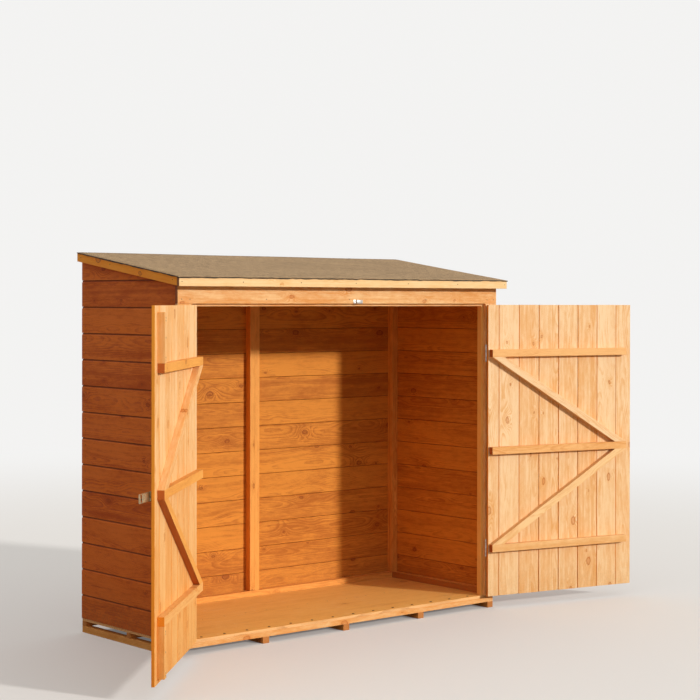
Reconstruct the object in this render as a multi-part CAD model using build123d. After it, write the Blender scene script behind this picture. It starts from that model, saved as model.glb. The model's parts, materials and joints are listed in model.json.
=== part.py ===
# Timber pent-roof bike store with two ledged and braced doors, standing open.
# Millimetres, +Z up, +X to the right seen from the front, the doors face -Y.
# The origin is on the ground in the middle of the store's width and depth.
from build123d import *
import math
import os

os.makedirs("parts", exist_ok=True)

# Driving dimensions of the shed
WIDTH = 1790.0          # over the side wall boards
DEPTH = 716.0           # from the front trim's face to the back boards' face
EAVES_H = 1519.0        # top of the felt at the fascia's face
ROOF_RISE = 110.0       # from the eaves to the back edge
ROOF_FRONT = 45.0       # roof in front of the trim's face
ROOF_SIDE = 24.0        # roof past each side wall

# Sawn stock
BOARD_T = 12.0          # wall and door boards
BOARD_COVER = 112.0     # face width that one board covers
BATTEN = 34.0           # batten, wide way
BATTEN_T = 27.0         # batten, thin way
TRIM_T = 16.0           # header, front strips, fascia and bargeboards

# Floor
BEARER_COUNT = 5
BEARER_H = 27.0
FLOOR_RAIL_H = 22.0
FLOOR_SHEET_T = 12.0
FLOOR_INSET = 3.0       # floor end inside the wall boards' face

# Roof
ROOF_SHEET_T = 10.0
FELT_T = 2.5
FASCIA_H = 37.0
BARGE_H = 37.0

# Cladding
FIRST_COURSE = 102.0    # lowest board, cut at the bottom
LAP_H = 9.0             # height of the cove along the top edge of each shiplap board
LAP_D = 3.0             # depth of the cove
COVE_STEPS = 4          # flats in each cove

# Door opening and doors
STRIP_W = 69.0          # width of the front strip on each side of the doors
JAMB_SHOW = 11.0        # jamb post showing inside the front strip, the door's stop
HEADER_DROP = 109.0     # underside of the header board below the eaves
STOP_SHOW = 11.0        # top rail showing below the header, the doors' stop
DOOR_GAP = 5.0          # clearance round each closed door
DOOR_SINK = 1.0         # closed door's bottom below the floor's top
DOOR_PROUD = 1.0        # closed door's outer face in front of the trim
MEETING_GAP = 6.0       # between the two closed doors
DOOR_FIRST = 60.0       # board at the hinge edge, ripped narrower
LEDGE_INSET = 223.0     # outer ledges' middle from the door's end
LEDGE_START = 7.0       # ledge's end from the hinge edge
LEDGE_STOP = 43.0       # ledge's end from the free edge
GROOVE_W = 4.0
GROOVE_D = 2.0

# Butt hinges
HINGE_H = 78.0
LEAF_W = 25.0
LEAF_T = 2.0
KNUCKLE_R = 4.0
PIN_R = 2.0
PIN_PLAY = 0.05
KNUCKLE_GAP = 0.3

# Hasp, staple and keep
HASP_H = 34.0
HASP_BASE_W = 30.0
HASP_T = 2.0
HASP_STANDOFF = 5.0     # strap's underside off the door
HASP_LENGTH = 105.0     # strap from its pin
HASP_CORNER = 5.0
HASP_KNUCKLE_R = 3.5
HASP_PIN_R = 1.5
HASP_EDGE = 10.0        # hasp's pin from the left door's free edge
SLOT_W = 13.0
SLOT_H = 27.0
SLOT_FROM_END = 18.0
STAPLE_ROD = 5.0
STAPLE_SPAN = 16.0      # between the middles of the staple's legs
STAPLE_OUT = 24.0
KEEP_X = 49.0           # keep's middle, over the right door's free edge
KEEP_RISE = 1.0         # keep's lower edge above the header's underside
KEEP_W = 52.0
KEEP_H = 15.0
KEEP_T = 1.5
KEEP_LUG = 16.0         # flat lug at each end
KEEP_OUT = 9.0          # bridge's face in front of the header

# Doors at rest, degrees open from closed
LEFT_ANGLE = 135.7
RIGHT_ANGLE = 168.3
HASP_ANGLE = 10.0

# Places worked out from the sizes above
HALF = WIDTH / 2
FRONT = -DEPTH / 2
BACK = DEPTH / 2
FRAME_Y = FRONT + TRIM_T
STRIP_X = HALF - STRIP_W
JAMB_X = STRIP_X - JAMB_SHOW
HEADER_Z = EAVES_H - HEADER_DROP
INNER_X = HALF - BOARD_T
INNER_BACK = BACK - BOARD_T
FLOOR_TOP = BEARER_H + FLOOR_RAIL_H + FLOOR_SHEET_T
ROOF_Y0 = FRONT - ROOF_FRONT
ROOF_ANGLE = math.atan2(ROOF_RISE, BACK - ROOF_Y0)
DOOR_BOTTOM = FLOOR_TOP - DOOR_SINK
DOOR_TOP = HEADER_Z - DOOR_GAP
DOOR_W = STRIP_X - DOOR_GAP - MEETING_GAP / 2
DOOR_Y = FRONT - DOOR_PROUD
PIN_X = STRIP_X - DOOR_GAP / 2
PIN_Y = DOOR_Y - KNUCKLE_R
LEDGE_Z = (DOOR_BOTTOM + LEDGE_INSET, (DOOR_BOTTOM + DOOR_TOP) / 2, DOOR_TOP - LEDGE_INSET)
LEDGE_END = DOOR_W - LEDGE_STOP


def roof_z(y, below=0.0):
    """Height of a plane under the felt's top, measured square to the roof."""
    return EAVES_H + (y - ROOF_Y0) * math.tan(ROOF_ANGLE) - below / math.cos(ROOF_ANGLE)


def block(x0, x1, y0, y1, z0, z1):
    """Box between two corners."""
    size = (x1 - x0, y1 - y0, z1 - z0)
    middle = ((x0 + x1) / 2, (y0 + y1) / 2, (z0 + z1) / 2)
    return Pos(*middle) * Box(*size)


def plate_yz(points, x0, x1):
    """Outline in the Y-Z plane, extruded from x0 to x1."""
    face = make_face(Polyline(*[(x0, y, z) for y, z in points], close=True))
    return extrude(face, amount=x1 - x0, dir=(1, 0, 0))


def plate_xz(points, y0, y1):
    """Outline in the X-Z plane, extruded from y0 to y1."""
    face = make_face(Polyline(*[(x, y0, z) for x, z in points], close=True))
    return extrude(face, amount=y1 - y0, dir=(0, 1, 0))


def plate_xy(points, z0, z1):
    """Outline in the X-Y plane, extruded from z0 to z1."""
    face = make_face(Polyline(*[(x, y, z0) for x, y in points], close=True))
    return extrude(face, amount=z1 - z0, dir=(0, 0, 1))


def mirror_x(solid):
    """The same piece on the other side of the store."""
    return mirror(solid, about=Plane.YZ)


def under_roof(solid, below):
    """Cut a piece off along the underside of the roof."""
    y0 = ROOF_Y0 - ROOF_RISE
    y1 = BACK + ROOF_RISE
    top = EAVES_H + 4 * ROOF_RISE
    outline = [(y0, roof_z(y0, below)), (y1, roof_z(y1, below)), (y1, top), (y0, top)]
    return solid - plate_yz(outline, -WIDTH, WIDTH)


def shiplap(z0, z1):
    """Section of a wall of shiplap boards, as (depth from the outer face, height)."""
    outer = [(0.0, z0)]
    joint = z0 + FIRST_COURSE
    while joint < z1 - LAP_H:
        for step in range(COVE_STEPS + 1):
            turn = math.radians(90 * step / COVE_STEPS)
            outer.append((LAP_D * math.sin(turn), joint - LAP_H * math.cos(turn)))
        outer.append((0.0, joint))
        joint += BOARD_COVER
    outer.append((0.0, z1))
    return outer + [(BOARD_T, z1), (BOARD_T, z0)]


def floor_parts():
    ends = WIDTH / 2 - FLOOR_INSET
    first = -ends + BATTEN / 2
    pitch = 2 * -first / (BEARER_COUNT - 1)
    bearers = []
    for n in range(BEARER_COUNT):
        x = first + n * pitch
        bearers.append(block(x - BATTEN / 2, x + BATTEN / 2, FRAME_Y, BACK, 0, BEARER_H))
    rail_top = BEARER_H + FLOOR_RAIL_H
    return {
        "floor_bearers": bearers,
        "floor_front_rail": [block(-ends, ends, FRAME_Y, FRAME_Y + BATTEN_T, BEARER_H, rail_top)],
        "floor_middle_rail": [block(-ends, ends, -BATTEN_T / 2, BATTEN_T / 2, BEARER_H, rail_top)],
        "floor_back_rail": [block(-ends, ends, BACK - BATTEN_T, BACK, BEARER_H, rail_top)],
        "floor_sheet": [block(-ends, ends, FRAME_Y, BACK, rail_top, FLOOR_TOP)],
    }


def wall_parts():
    roof_under = FELT_T + ROOF_SHEET_T
    side_top = roof_z(BACK, 0)
    section = shiplap(FLOOR_TOP, side_top)
    right_boards = plate_xz([(HALF - d, z) for d, z in section], FRAME_Y, BACK)
    right_boards = under_roof(right_boards, roof_under)
    back_section = shiplap(FLOOR_TOP, roof_z(INNER_BACK, roof_under))
    back_half = plate_yz([(BACK - d, z) for d, z in back_section], 0, INNER_X)
    back_half = under_roof(back_half, roof_under)

    rail_top = FLOOR_TOP + BATTEN_T
    post_in = INNER_X - BATTEN
    front_in = FRAME_Y + BATTEN_T
    back_in = INNER_BACK - BATTEN
    tall = EAVES_H + ROOF_RISE
    rail_under = roof_under + BATTEN_T
    jamb_top = HEADER_Z - STOP_SHOW
    jamb = block(JAMB_X, JAMB_X + BATTEN, FRAME_Y, front_in, FLOOR_TOP, jamb_top)
    front_post = block(JAMB_X + BATTEN, INNER_X, FRAME_Y, front_in, FLOOR_TOP, tall)
    front_post = under_roof(front_post, roof_under)
    corner_post = block(post_in, INNER_X, back_in, INNER_BACK, FLOOR_TOP, tall)
    corner_post = under_roof(corner_post, roof_under)
    side_rail = block(post_in, INNER_X, front_in, back_in, FLOOR_TOP, rail_top)
    back_rail = block(-post_in, post_in, back_in, INNER_BACK, FLOOR_TOP, rail_top)
    outline = [
        (front_in, roof_z(front_in, rail_under)),
        (back_in, roof_z(back_in, rail_under)),
        (back_in, roof_z(back_in, roof_under)),
        (front_in, roof_z(front_in, roof_under)),
    ]
    side_top_rail = plate_yz(outline, post_in, INNER_X)
    stud_top = roof_z(back_in, rail_under)
    outline = [
        (back_in, stud_top),
        (INNER_BACK, stud_top),
        (INNER_BACK, roof_z(INNER_BACK, roof_under)),
        (back_in, roof_z(back_in, roof_under)),
    ]
    back_top_rail = plate_yz(outline, -post_in, post_in)
    stud = block(0, BATTEN_T, back_in, INNER_BACK, rail_top, stud_top)

    header_top = roof_z(FRONT, roof_under)
    header = block(-HALF, HALF, FRONT, FRAME_Y, HEADER_Z, header_top)
    stop_z = HEADER_Z - STOP_SHOW
    top_rail = block(-JAMB_X - BATTEN, JAMB_X + BATTEN, FRAME_Y, front_in, stop_z, stop_z + BATTEN)
    strip = block(STRIP_X, HALF, FRONT, FRAME_Y, FLOOR_TOP, HEADER_Z)
    return {
        "right_wall_boards": [right_boards],
        "left_wall_boards": [mirror_x(right_boards)],
        "back_wall_boards": [mirror_x(back_half), back_half],
        "right_jamb_post": [jamb],
        "left_jamb_post": [mirror_x(jamb)],
        "right_front_post": [front_post],
        "left_front_post": [mirror_x(front_post)],
        "right_corner_post": [corner_post],
        "left_corner_post": [mirror_x(corner_post)],
        "wall_bottom_rails": [side_rail, mirror_x(side_rail), back_rail],
        "right_top_rail": [side_top_rail],
        "left_top_rail": [mirror_x(side_top_rail)],
        "back_top_rail": [back_top_rail],
        "right_back_stud": [stud],
        "left_back_stud": [mirror_x(stud)],
        "front_top_rail": [top_rail],
        "header_board": [header],
        "right_front_strip": [strip],
        "left_front_strip": [mirror_x(strip)],
    }


def roof_parts():
    roof_x = HALF + ROOF_SIDE
    sheet_x = roof_x - TRIM_T
    fascia_in = ROOF_Y0 + TRIM_T

    def slab(y0, y1, x0, x1, upper, lower):
        outline = [
            (y0, roof_z(y0, lower)),
            (y1, roof_z(y1, lower)),
            (y1, roof_z(y1, upper)),
            (y0, roof_z(y0, upper)),
        ]
        return plate_yz(outline, x0, x1)

    barge_low = FELT_T + BARGE_H
    felt = slab(ROOF_Y0, BACK, -roof_x, roof_x, 0, FELT_T)
    sheet = slab(fascia_in, BACK, -sheet_x, sheet_x, FELT_T, FELT_T + ROOF_SHEET_T)
    barge = slab(fascia_in, BACK, sheet_x, roof_x, FELT_T, barge_low)
    fascia_low = roof_z(ROOF_Y0, FELT_T) - FASCIA_H
    fascia = block(-roof_x, roof_x, ROOF_Y0, fascia_in, fascia_low, EAVES_H + ROOF_RISE)
    fascia = under_roof(fascia, FELT_T)
    return {
        "roof_felt": [felt],
        "roof_sheet": [sheet],
        "front_fascia": [fascia],
        "right_bargeboard": [barge],
        "left_bargeboard": [mirror_x(barge)],
    }


def door_board_joints():
    joints = []
    at = DOOR_FIRST
    while at < DOOR_W - GROOVE_W:
        joints.append(at)
        at += BOARD_COVER
    return joints


def right_door_boards():
    """Closed right door: vertical boards with a V joint on the outer face and a fine one inside."""
    hinge_x = PIN_X - DOOR_GAP / 2
    inner_y = DOOR_Y + BOARD_T
    outer = [(hinge_x, DOOR_Y)]
    inner = []
    for at in door_board_joints():
        x = hinge_x - at
        outer += [(x + GROOVE_W / 2, DOOR_Y), (x, DOOR_Y + GROOVE_D), (x - GROOVE_W / 2, DOOR_Y)]
        inner += [(x + GROOVE_W / 4, inner_y), (x, inner_y - GROOVE_D / 2), (x - GROOVE_W / 4, inner_y)]
    outer.append((hinge_x - DOOR_W, DOOR_Y))
    outer.append((hinge_x - DOOR_W, inner_y))
    outline = outer + inner[::-1] + [(hinge_x, inner_y)]
    return plate_xy(outline, DOOR_BOTTOM, DOOR_TOP)


def right_ledge(z):
    hinge_x = PIN_X - DOOR_GAP / 2
    y0 = DOOR_Y + BOARD_T
    return block(hinge_x - LEDGE_END, hinge_x - LEDGE_START, y0, y0 + BATTEN_T, z - BATTEN / 2, z + BATTEN / 2)


def brace_run(length, height):
    """Horizontal width of a brace that fills the corners of its bay and is one batten wide."""
    a = height ** 2 - BATTEN ** 2
    b = 2 * BATTEN ** 2 * length
    c = -BATTEN ** 2 * (length ** 2 + height ** 2)
    return (-b + math.sqrt(b ** 2 - 4 * a * c)) / (2 * a)


def right_brace(hinge_z, free_z):
    """Brace from the hinge end of an outer ledge to the free end of the middle one."""
    hinge_x = PIN_X - DOOR_GAP / 2
    near = hinge_x - LEDGE_START
    far = hinge_x - LEDGE_END
    wide = brace_run(near - far, abs(hinge_z - free_z))
    outline = [(near, hinge_z), (near - wide, hinge_z), (far, free_z), (far + wide, free_z)]
    y0 = DOOR_Y + BOARD_T
    return plate_xz(outline, y0, y0 + BATTEN_T)


def right_door_leaves():
    """Door leaf of each butt hinge, with the middle knuckle."""
    leaves = []
    for z in (LEDGE_Z[0], LEDGE_Z[2]):
        third = HINGE_H / 6
        leaf = block(PIN_X - LEAF_W, PIN_X, DOOR_Y - LEAF_T, DOOR_Y, z - HINGE_H / 2, z + HINGE_H / 2)
        clear = KNUCKLE_R + KNUCKLE_GAP
        for side in (-1, 1):
            gap_low = z + side * (third + HINGE_H / 2) / 2
            half = (HINGE_H / 2 - third) / 2
            leaf -= block(PIN_X - clear, PIN_X + clear, PIN_Y - clear, DOOR_Y + KNUCKLE_GAP,
                          gap_low - half, gap_low + half)
        knuckle = Pos(PIN_X, PIN_Y, z) * Cylinder(KNUCKLE_R, 2 * third - 2 * KNUCKLE_GAP)
        bore = Pos(PIN_X, PIN_Y, z) * Cylinder(PIN_R + PIN_PLAY, HINGE_H)
        leaves.append(leaf + knuckle - bore)
    return leaves


def right_frame_leaves():
    """Frame leaf of each butt hinge, with the outer knuckles and the pin."""
    leaves = []
    for z in (LEDGE_Z[0], LEDGE_Z[2]):
        third = HINGE_H / 6
        half = (HINGE_H / 2 - third) / 2
        start = PIN_X + KNUCKLE_R + KNUCKLE_GAP
        leaf = block(start, PIN_X + LEAF_W, FRONT - LEAF_T, FRONT, z - HINGE_H / 2, z + HINGE_H / 2)
        for side in (-1, 1):
            middle = z + side * (third + half)
            leaf += Pos(PIN_X, PIN_Y, middle) * Cylinder(KNUCKLE_R, 2 * half)
            leaf += block(PIN_X, start + LEAF_T, PIN_Y, FRONT, middle - half, middle + half)
        leaf += Pos(PIN_X, PIN_Y, z) * Cylinder(PIN_R, HINGE_H)
        leaves.append(leaf)
    return leaves


def staple():
    """Wire staple on the outer face of the closed right door."""
    z = LEDGE_Z[1]
    x = staple_x()
    r = STAPLE_ROD / 2
    bend = STAPLE_SPAN / 2
    top_y = DOOR_Y - STAPLE_OUT + r + bend
    legs = []
    for side in (-1, 1):
        leg = Cylinder(r, DOOR_Y - top_y, rotation=(90, 0, 0))
        legs.append(Pos(x, (DOOR_Y + top_y) / 2, z + side * bend) * leg)
    ring = Pos(x, top_y, z) * Torus(bend, r, rotation=(0, 90, 0))
    bow = ring & block(x - r, x + r, top_y - bend - r, top_y, z - bend - r, z + bend + r)
    return legs[0] + legs[1] + bow


def hasp_pin():
    """Hasp's pin on the closed left door, as x and y."""
    x = -MEETING_GAP / 2 - HASP_EDGE
    return x, DOOR_Y - HASP_STANDOFF - HASP_T / 2


def staple_x():
    x, _ = hasp_pin()
    return x + HASP_LENGTH - SLOT_FROM_END - SLOT_W / 2


def hasp_base():
    """Fixed leaf of the hasp on the closed left door, with its outer knuckles and pin."""
    x, y = hasp_pin()
    z = LEDGE_Z[1]
    half = HASP_H / 2
    third = HASP_H / 6
    base = block(x - HASP_BASE_W, x, DOOR_Y - HASP_T, DOOR_Y, z - half, z + half)
    for side in (-1, 1):
        middle = z + side * (half + third) / 2
        base += Pos(x, y, middle) * Cylinder(HASP_KNUCKLE_R, half - third)
        base += block(x - HASP_KNUCKLE_R, x, y, DOOR_Y, middle - (half - third) / 2, middle + (half - third) / 2)
    return base + Pos(x, y, z) * Cylinder(HASP_PIN_R, HASP_H)


def hasp_strap():
    """Swinging strap of the hasp, closed over the staple."""
    x, y = hasp_pin()
    z = LEDGE_Z[1]
    half = HASP_H / 2
    third = HASP_H / 6
    clear = HASP_KNUCKLE_R + 2 * KNUCKLE_GAP
    end = x + HASP_LENGTH
    strap = block(x, end, y - HASP_T / 2, y + HASP_T / 2, z - half, z + half)
    strap = fillet(strap.edges().filter_by(Axis.Y).group_by(Axis.X)[-1], HASP_CORNER)
    for side in (-1, 1):
        middle = z + side * (half + third) / 2
        reach = (half - third) / 2 + KNUCKLE_GAP
        strap -= block(x - clear, x + clear, y - clear, y + clear, middle - reach, middle + reach)
    strap += Pos(x, y, z) * Cylinder(HASP_KNUCKLE_R, 2 * third - 2 * KNUCKLE_GAP)
    strap -= Pos(x, y, z) * Cylinder(HASP_PIN_R + PIN_PLAY, HASP_H)
    slot_x = end - SLOT_FROM_END - SLOT_W / 2
    slot = Pos(slot_x, y, z) * Box(SLOT_W, 2 * HASP_T, SLOT_H)
    return strap - slot


def keep():
    """Pressed steel keep at the header's lower edge: two flat lugs and a bridge, open behind."""
    outer = KEEP_W / 2
    lug = outer - KEEP_LUG
    out = FRONT - KEEP_OUT
    half = [
        (outer, FRONT),
        (lug, FRONT),
        (lug, out + KEEP_T),
    ]
    back = [
        (lug + KEEP_T, out),
        (lug + KEEP_T, FRONT - KEEP_T),
        (outer, FRONT - KEEP_T),
    ]
    right = [(KEEP_X + x, y) for x, y in half]
    left = [(KEEP_X - x, y) for x, y in reversed(half)]
    left_back = [(KEEP_X - x, y) for x, y in reversed(back)]
    right_back = [(KEEP_X + x, y) for x, y in back]
    low = HEADER_Z + KEEP_RISE
    return plate_xy(right + left + left_back + right_back, low, low + KEEP_H)


def swing(solid, x, y, degrees):
    """Turn a piece about an upright axis."""
    return solid.rotate(Axis((x, y, 0), (0, 0, 1)), degrees)


def door_parts():
    ledge_half = BATTEN / 2
    low, mid, high = LEDGE_Z
    right = {
        "door_boards": [right_door_boards()],
        "door_lower_ledge": [right_ledge(low)],
        "door_middle_ledge": [right_ledge(mid)],
        "door_top_ledge": [right_ledge(high)],
        "door_lower_brace": [right_brace(low + ledge_half, mid - ledge_half)],
        "door_upper_brace": [right_brace(high - ledge_half, mid + ledge_half)],
        "door_hinge_leaves": right_door_leaves(),
    }
    parts = {}
    for name, solids in right.items():
        parts["right_" + name] = [swing(s, PIN_X, PIN_Y, RIGHT_ANGLE) for s in solids]
        parts["left_" + name] = [swing(mirror_x(s), -PIN_X, PIN_Y, -LEFT_ANGLE) for s in solids]
    parts["hasp_staple"] = [swing(staple(), PIN_X, PIN_Y, RIGHT_ANGLE)]
    parts["hasp_base"] = [swing(hasp_base(), -PIN_X, PIN_Y, -LEFT_ANGLE)]
    pin_x, pin_y = hasp_pin()
    strap = swing(hasp_strap(), pin_x, pin_y, -HASP_ANGLE)
    parts["hasp_strap"] = [swing(strap, -PIN_X, PIN_Y, -LEFT_ANGLE)]
    leaves = right_frame_leaves()
    parts["frame_hinge_leaves"] = leaves + [mirror_x(s) for s in leaves]
    parts["header_keep"] = [keep()]
    return parts


def save(name, solids):
    shape = solids[0] if len(solids) == 1 else Compound(children=list(solids))
    export_step(shape, f"parts/{name}.step")


def main():
    parts = {}
    parts.update(floor_parts())
    parts.update(wall_parts())
    parts.update(roof_parts())
    parts.update(door_parts())
    for name, solids in parts.items():
        save(name, solids)
    hx, hy = hasp_pin()
    turn = Vector(hx + PIN_X, hy - PIN_Y, 0).rotate(Axis.Z, -LEFT_ANGLE)
    print("nodes", len(parts))
    print("door pins", PIN_X, PIN_Y)
    print("hasp pin at rest", round(turn.X - PIN_X, 3), round(turn.Y + PIN_Y, 3))
    print("door", DOOR_W, "wide", DOOR_BOTTOM, "to", DOOR_TOP)


main()
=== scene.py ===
# %% [markdown]
# # A timber bike store, dressed in Blender
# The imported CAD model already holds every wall, post, door and hinge at its real place, so it is used as a
# fixed frame. This lesson gives that frame its surfaces: separate boards that lap and joint, stained pine
# with growth rings and knots, mineral felt, and zinc plated fittings with their screws. Lengths are in
# metres, z is up, x runs to the right and the doors face -y.

# %% Load the frame
import json
import math
import random

import bmesh
import bpy
from mathutils import Matrix, Vector


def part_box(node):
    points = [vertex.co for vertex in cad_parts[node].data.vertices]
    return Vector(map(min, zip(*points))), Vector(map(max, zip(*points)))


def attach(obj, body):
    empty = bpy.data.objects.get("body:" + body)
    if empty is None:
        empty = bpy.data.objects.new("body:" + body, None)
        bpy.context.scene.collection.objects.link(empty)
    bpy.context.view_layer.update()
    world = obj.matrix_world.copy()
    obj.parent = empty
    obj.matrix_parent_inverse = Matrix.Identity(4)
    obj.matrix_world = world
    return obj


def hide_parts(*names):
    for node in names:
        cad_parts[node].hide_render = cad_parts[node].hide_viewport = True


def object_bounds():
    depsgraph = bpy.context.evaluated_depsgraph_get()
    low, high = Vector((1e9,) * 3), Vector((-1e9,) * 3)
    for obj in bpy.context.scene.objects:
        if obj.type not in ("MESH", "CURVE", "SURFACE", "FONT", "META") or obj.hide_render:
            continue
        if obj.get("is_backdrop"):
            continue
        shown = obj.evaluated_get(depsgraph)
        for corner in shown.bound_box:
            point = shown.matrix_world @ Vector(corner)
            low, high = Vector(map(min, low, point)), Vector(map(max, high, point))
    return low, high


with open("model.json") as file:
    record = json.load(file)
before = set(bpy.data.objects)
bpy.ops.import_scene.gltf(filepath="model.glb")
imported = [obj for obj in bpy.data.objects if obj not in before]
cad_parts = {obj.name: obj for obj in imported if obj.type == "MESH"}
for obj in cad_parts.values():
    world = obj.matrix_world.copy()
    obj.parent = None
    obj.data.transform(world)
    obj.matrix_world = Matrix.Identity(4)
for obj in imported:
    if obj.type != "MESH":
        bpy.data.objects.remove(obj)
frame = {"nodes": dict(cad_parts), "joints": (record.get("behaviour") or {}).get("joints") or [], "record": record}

cad_low, cad_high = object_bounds()
print("CAD box", [round(v, 3) for v in cad_low], [round(v, 3) for v in cad_high])

# %% [markdown]
# ## The camera
# A photograph's viewpoint can be worked out from it: edges that are parallel on the object meet at
# vanishing points, and sizes that are known fix the distance. A least-squares fit to about ninety points
# and lines gave the place, the turn and the focal length below. The horizon lies a little above the middle
# of the picture, as it does when a level camera's frame is moved down, so the lens is shifted down rather
# than the camera tilted.

# %% Place the camera
PICTURE_PX = 700
SENSOR = 36.0
FOCAL_PX = 1719.7
HORIZON_UP_PX = 41.5
CAMERA_AT = Vector((-4.7977, -5.9974, 1.4211))
TURN_RIGHT = 0.7053
TILT_UP = -0.0043
ROLL = 0.0015


def pointing(turn, rise):
    """Unit vector that points turn to the right of +y and rise above level, in radians."""
    return Vector((math.sin(turn) * math.cos(rise), math.cos(turn) * math.cos(rise), math.sin(rise)))


look = pointing(TURN_RIGHT, TILT_UP)
level = Vector((math.cos(TURN_RIGHT), -math.sin(TURN_RIGHT), 0.0))
upright = level.cross(look)
across = math.cos(ROLL) * level + math.sin(ROLL) * upright
upward = math.cos(ROLL) * upright - math.sin(ROLL) * level

lens = bpy.data.cameras.new("photo_lens")
lens.sensor_width = SENSOR
lens.lens = SENSOR * FOCAL_PX / PICTURE_PX
lens.shift_y = -HORIZON_UP_PX / PICTURE_PX
camera = bpy.data.objects.new("photo_camera", lens)
camera.matrix_world = Matrix.Translation(CAMERA_AT) @ Matrix((across, upward, -look)).transposed().to_4x4()
bpy.context.scene.collection.objects.link(camera)
bpy.context.scene.camera = camera
bpy.context.scene.view_settings.view_transform = "Standard"
print("focal length", round(lens.lens, 2), "mm, shift", round(lens.shift_y, 4))

# %% [markdown]
# ## Building node trees
# A material in Blender is a tree of nodes, and a sum in it takes a node for every plus and times. To keep
# such trees readable, a socket is wrapped in a small class, `Value`, whose signs add those nodes, so a sum
# is written as it is read. `add` makes a node, and `take` makes one and hands back what it puts out.

# %% Node helpers
class Value:
    """A socket in a node tree. A sum written with it adds the node that works the sum out."""

    def __init__(self, socket):
        self.socket = socket
        self.tree = socket.id_data
        self.wide = socket.type in ("VECTOR", "RGBA")

    def __add__(self, other):
        return calc("ADD", self, other)

    def __sub__(self, other):
        return calc("SUBTRACT", self, other)

    def __rsub__(self, other):
        return calc("SUBTRACT", other, self)

    def __mul__(self, other):
        return calc("MULTIPLY", self, other)

    def __truediv__(self, other):
        return calc("DIVIDE", self, other)

    def __rtruediv__(self, other):
        return calc("DIVIDE", other, self)

    def __pow__(self, other):
        return calc("POWER", self, other)


def add(tree, kind, inputs=None, **settings):
    """Make a node, set its options and fill its inputs; an input given a Value is linked to it."""
    made = tree.nodes.new(kind)
    for key, value in settings.items():
        setattr(made, key, value)
    for key, value in (inputs or {}).items():
        if isinstance(value, Value):
            tree.links.new(value.socket, made.inputs[key])
        else:
            made.inputs[key].default_value = value
    return made


def take(tree, kind, inputs=None, *outputs, **settings):
    """Make a node and take the outputs that are named, or else its first one."""
    made = add(tree, kind, inputs, **settings)
    values = [Value(made.outputs[name]) for name in outputs or (0,)]
    return values if len(values) > 1 else values[0]


def calc(operation, *terms):
    """One sum, on vectors where the first Value among its terms is one, or else on numbers."""
    known = next(term for term in terms if isinstance(term, Value))
    kind = "ShaderNodeVectorMath" if known.wide else "ShaderNodeMath"
    output = "Value" if operation == "LENGTH" else 0
    return take(known.tree, kind, dict(enumerate(terms)), output, operation=operation)


def split(value):
    """The three parts of a vector or a colour."""
    kind = "Color" if value.socket.type == "RGBA" else "XYZ"
    return take(value.tree, f"ShaderNodeSeparate{kind}", {0: value}, 0, 1, 2)


def join(x, y):
    """A flat vector from two numbers."""
    return take(x.tree, "ShaderNodeCombineXYZ", {"X": x, "Y": y})


def mix_colours(share, first, second, blend="MIX"):
    """Blend two colours; share 0 gives the first and 1 the second.

    A Mix node has sockets for every kind of value: for colours they are inputs 6 and 7 and output 2.
    """
    inputs = {0: share, 6: first, 7: second}
    return take(share.tree, "ShaderNodeMix", inputs, 2, data_type="RGBA", blend_type=blend)


def ease_between(value, low, high, to_low=0.0, to_high=1.0):
    """A smooth step: to_low below low, to_high above high."""
    inputs = {"Value": value, "From Min": low, "From Max": high, "To Min": to_low, "To Max": to_high}
    return take(value.tree, "ShaderNodeMapRange", inputs, interpolation_type="SMOOTHSTEP")


def noise(place, scale=1.0, detail=2.0, roughness=0.5, seed=None):
    """Smooth noise around 0.5, in four dimensions where a seed tells one timber from the next."""
    inputs = {"Vector": place, "Scale": scale, "Detail": detail, "Roughness": roughness}
    if seed is not None:
        inputs["W"] = seed
    return take(place.tree, "ShaderNodeTexNoise", inputs, noise_dimensions="3D" if seed is None else "4D")


def place_in(tree):
    """Where a point lies in the store's own frame, which moves with the piece."""
    return take(tree, "ShaderNodeTexCoord", None, "Object")


def new_material(name):
    made = bpy.data.materials.new(name)
    made.use_nodes = True
    made.node_tree.nodes.clear()
    return made


print("node helpers ready")

# %% [markdown]
# ## The studio
# The object stands on a plain pale floor. The floor fades to the colour of the backdrop a few metres away,
# so no horizon shows. The backdrop's brightness is only for rays that the camera, a gloss or a glass sends
# out; what lights the object is a soft sky, brighter overhead than near the ground, and one lamp. The lamp
# stands to the right of the doors and low, as the header's clear shadow on the back wall shows in the
# photograph.

# %% Floor, backdrop and lamp
BACKDROP = (0.90, 0.895, 0.885, 1.0)
LOW_SKY = (0.23, 0.223, 0.215, 1.0)
HIGH_SKY = (0.82, 0.795, 0.765, 1.0)
SKY_RISE = (0.1, 0.8)
FLOOR_TONE = (0.80, 0.785, 0.76, 1.0)
FLOOR_BOUNCE = (0.28, 0.21, 0.135, 1.0)
NEAR_GLOW = 0.15
FLOOR_RADIUS = 60.0
FADE_FROM, FADE_TO = 2.5, 9.0
LAMP_TURN = math.radians(22)
LAMP_HEIGHT = math.radians(17.5)
LAMP_STRENGTH = 2.7
LAMP_SPREAD = math.radians(4)
LAMP_COLOUR = (1.0, 0.975, 0.94)


def seen_directly(tree):
    """1 for rays that show the backdrop itself, 0 for rays that only carry its light."""
    seen, glossy, clear = take(
        tree, "ShaderNodeLightPath", None, "Is Camera Ray", "Is Glossy Ray", "Is Transmission Ray")
    return calc("MAXIMUM", seen, calc("MAXIMUM", glossy, clear))


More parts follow.
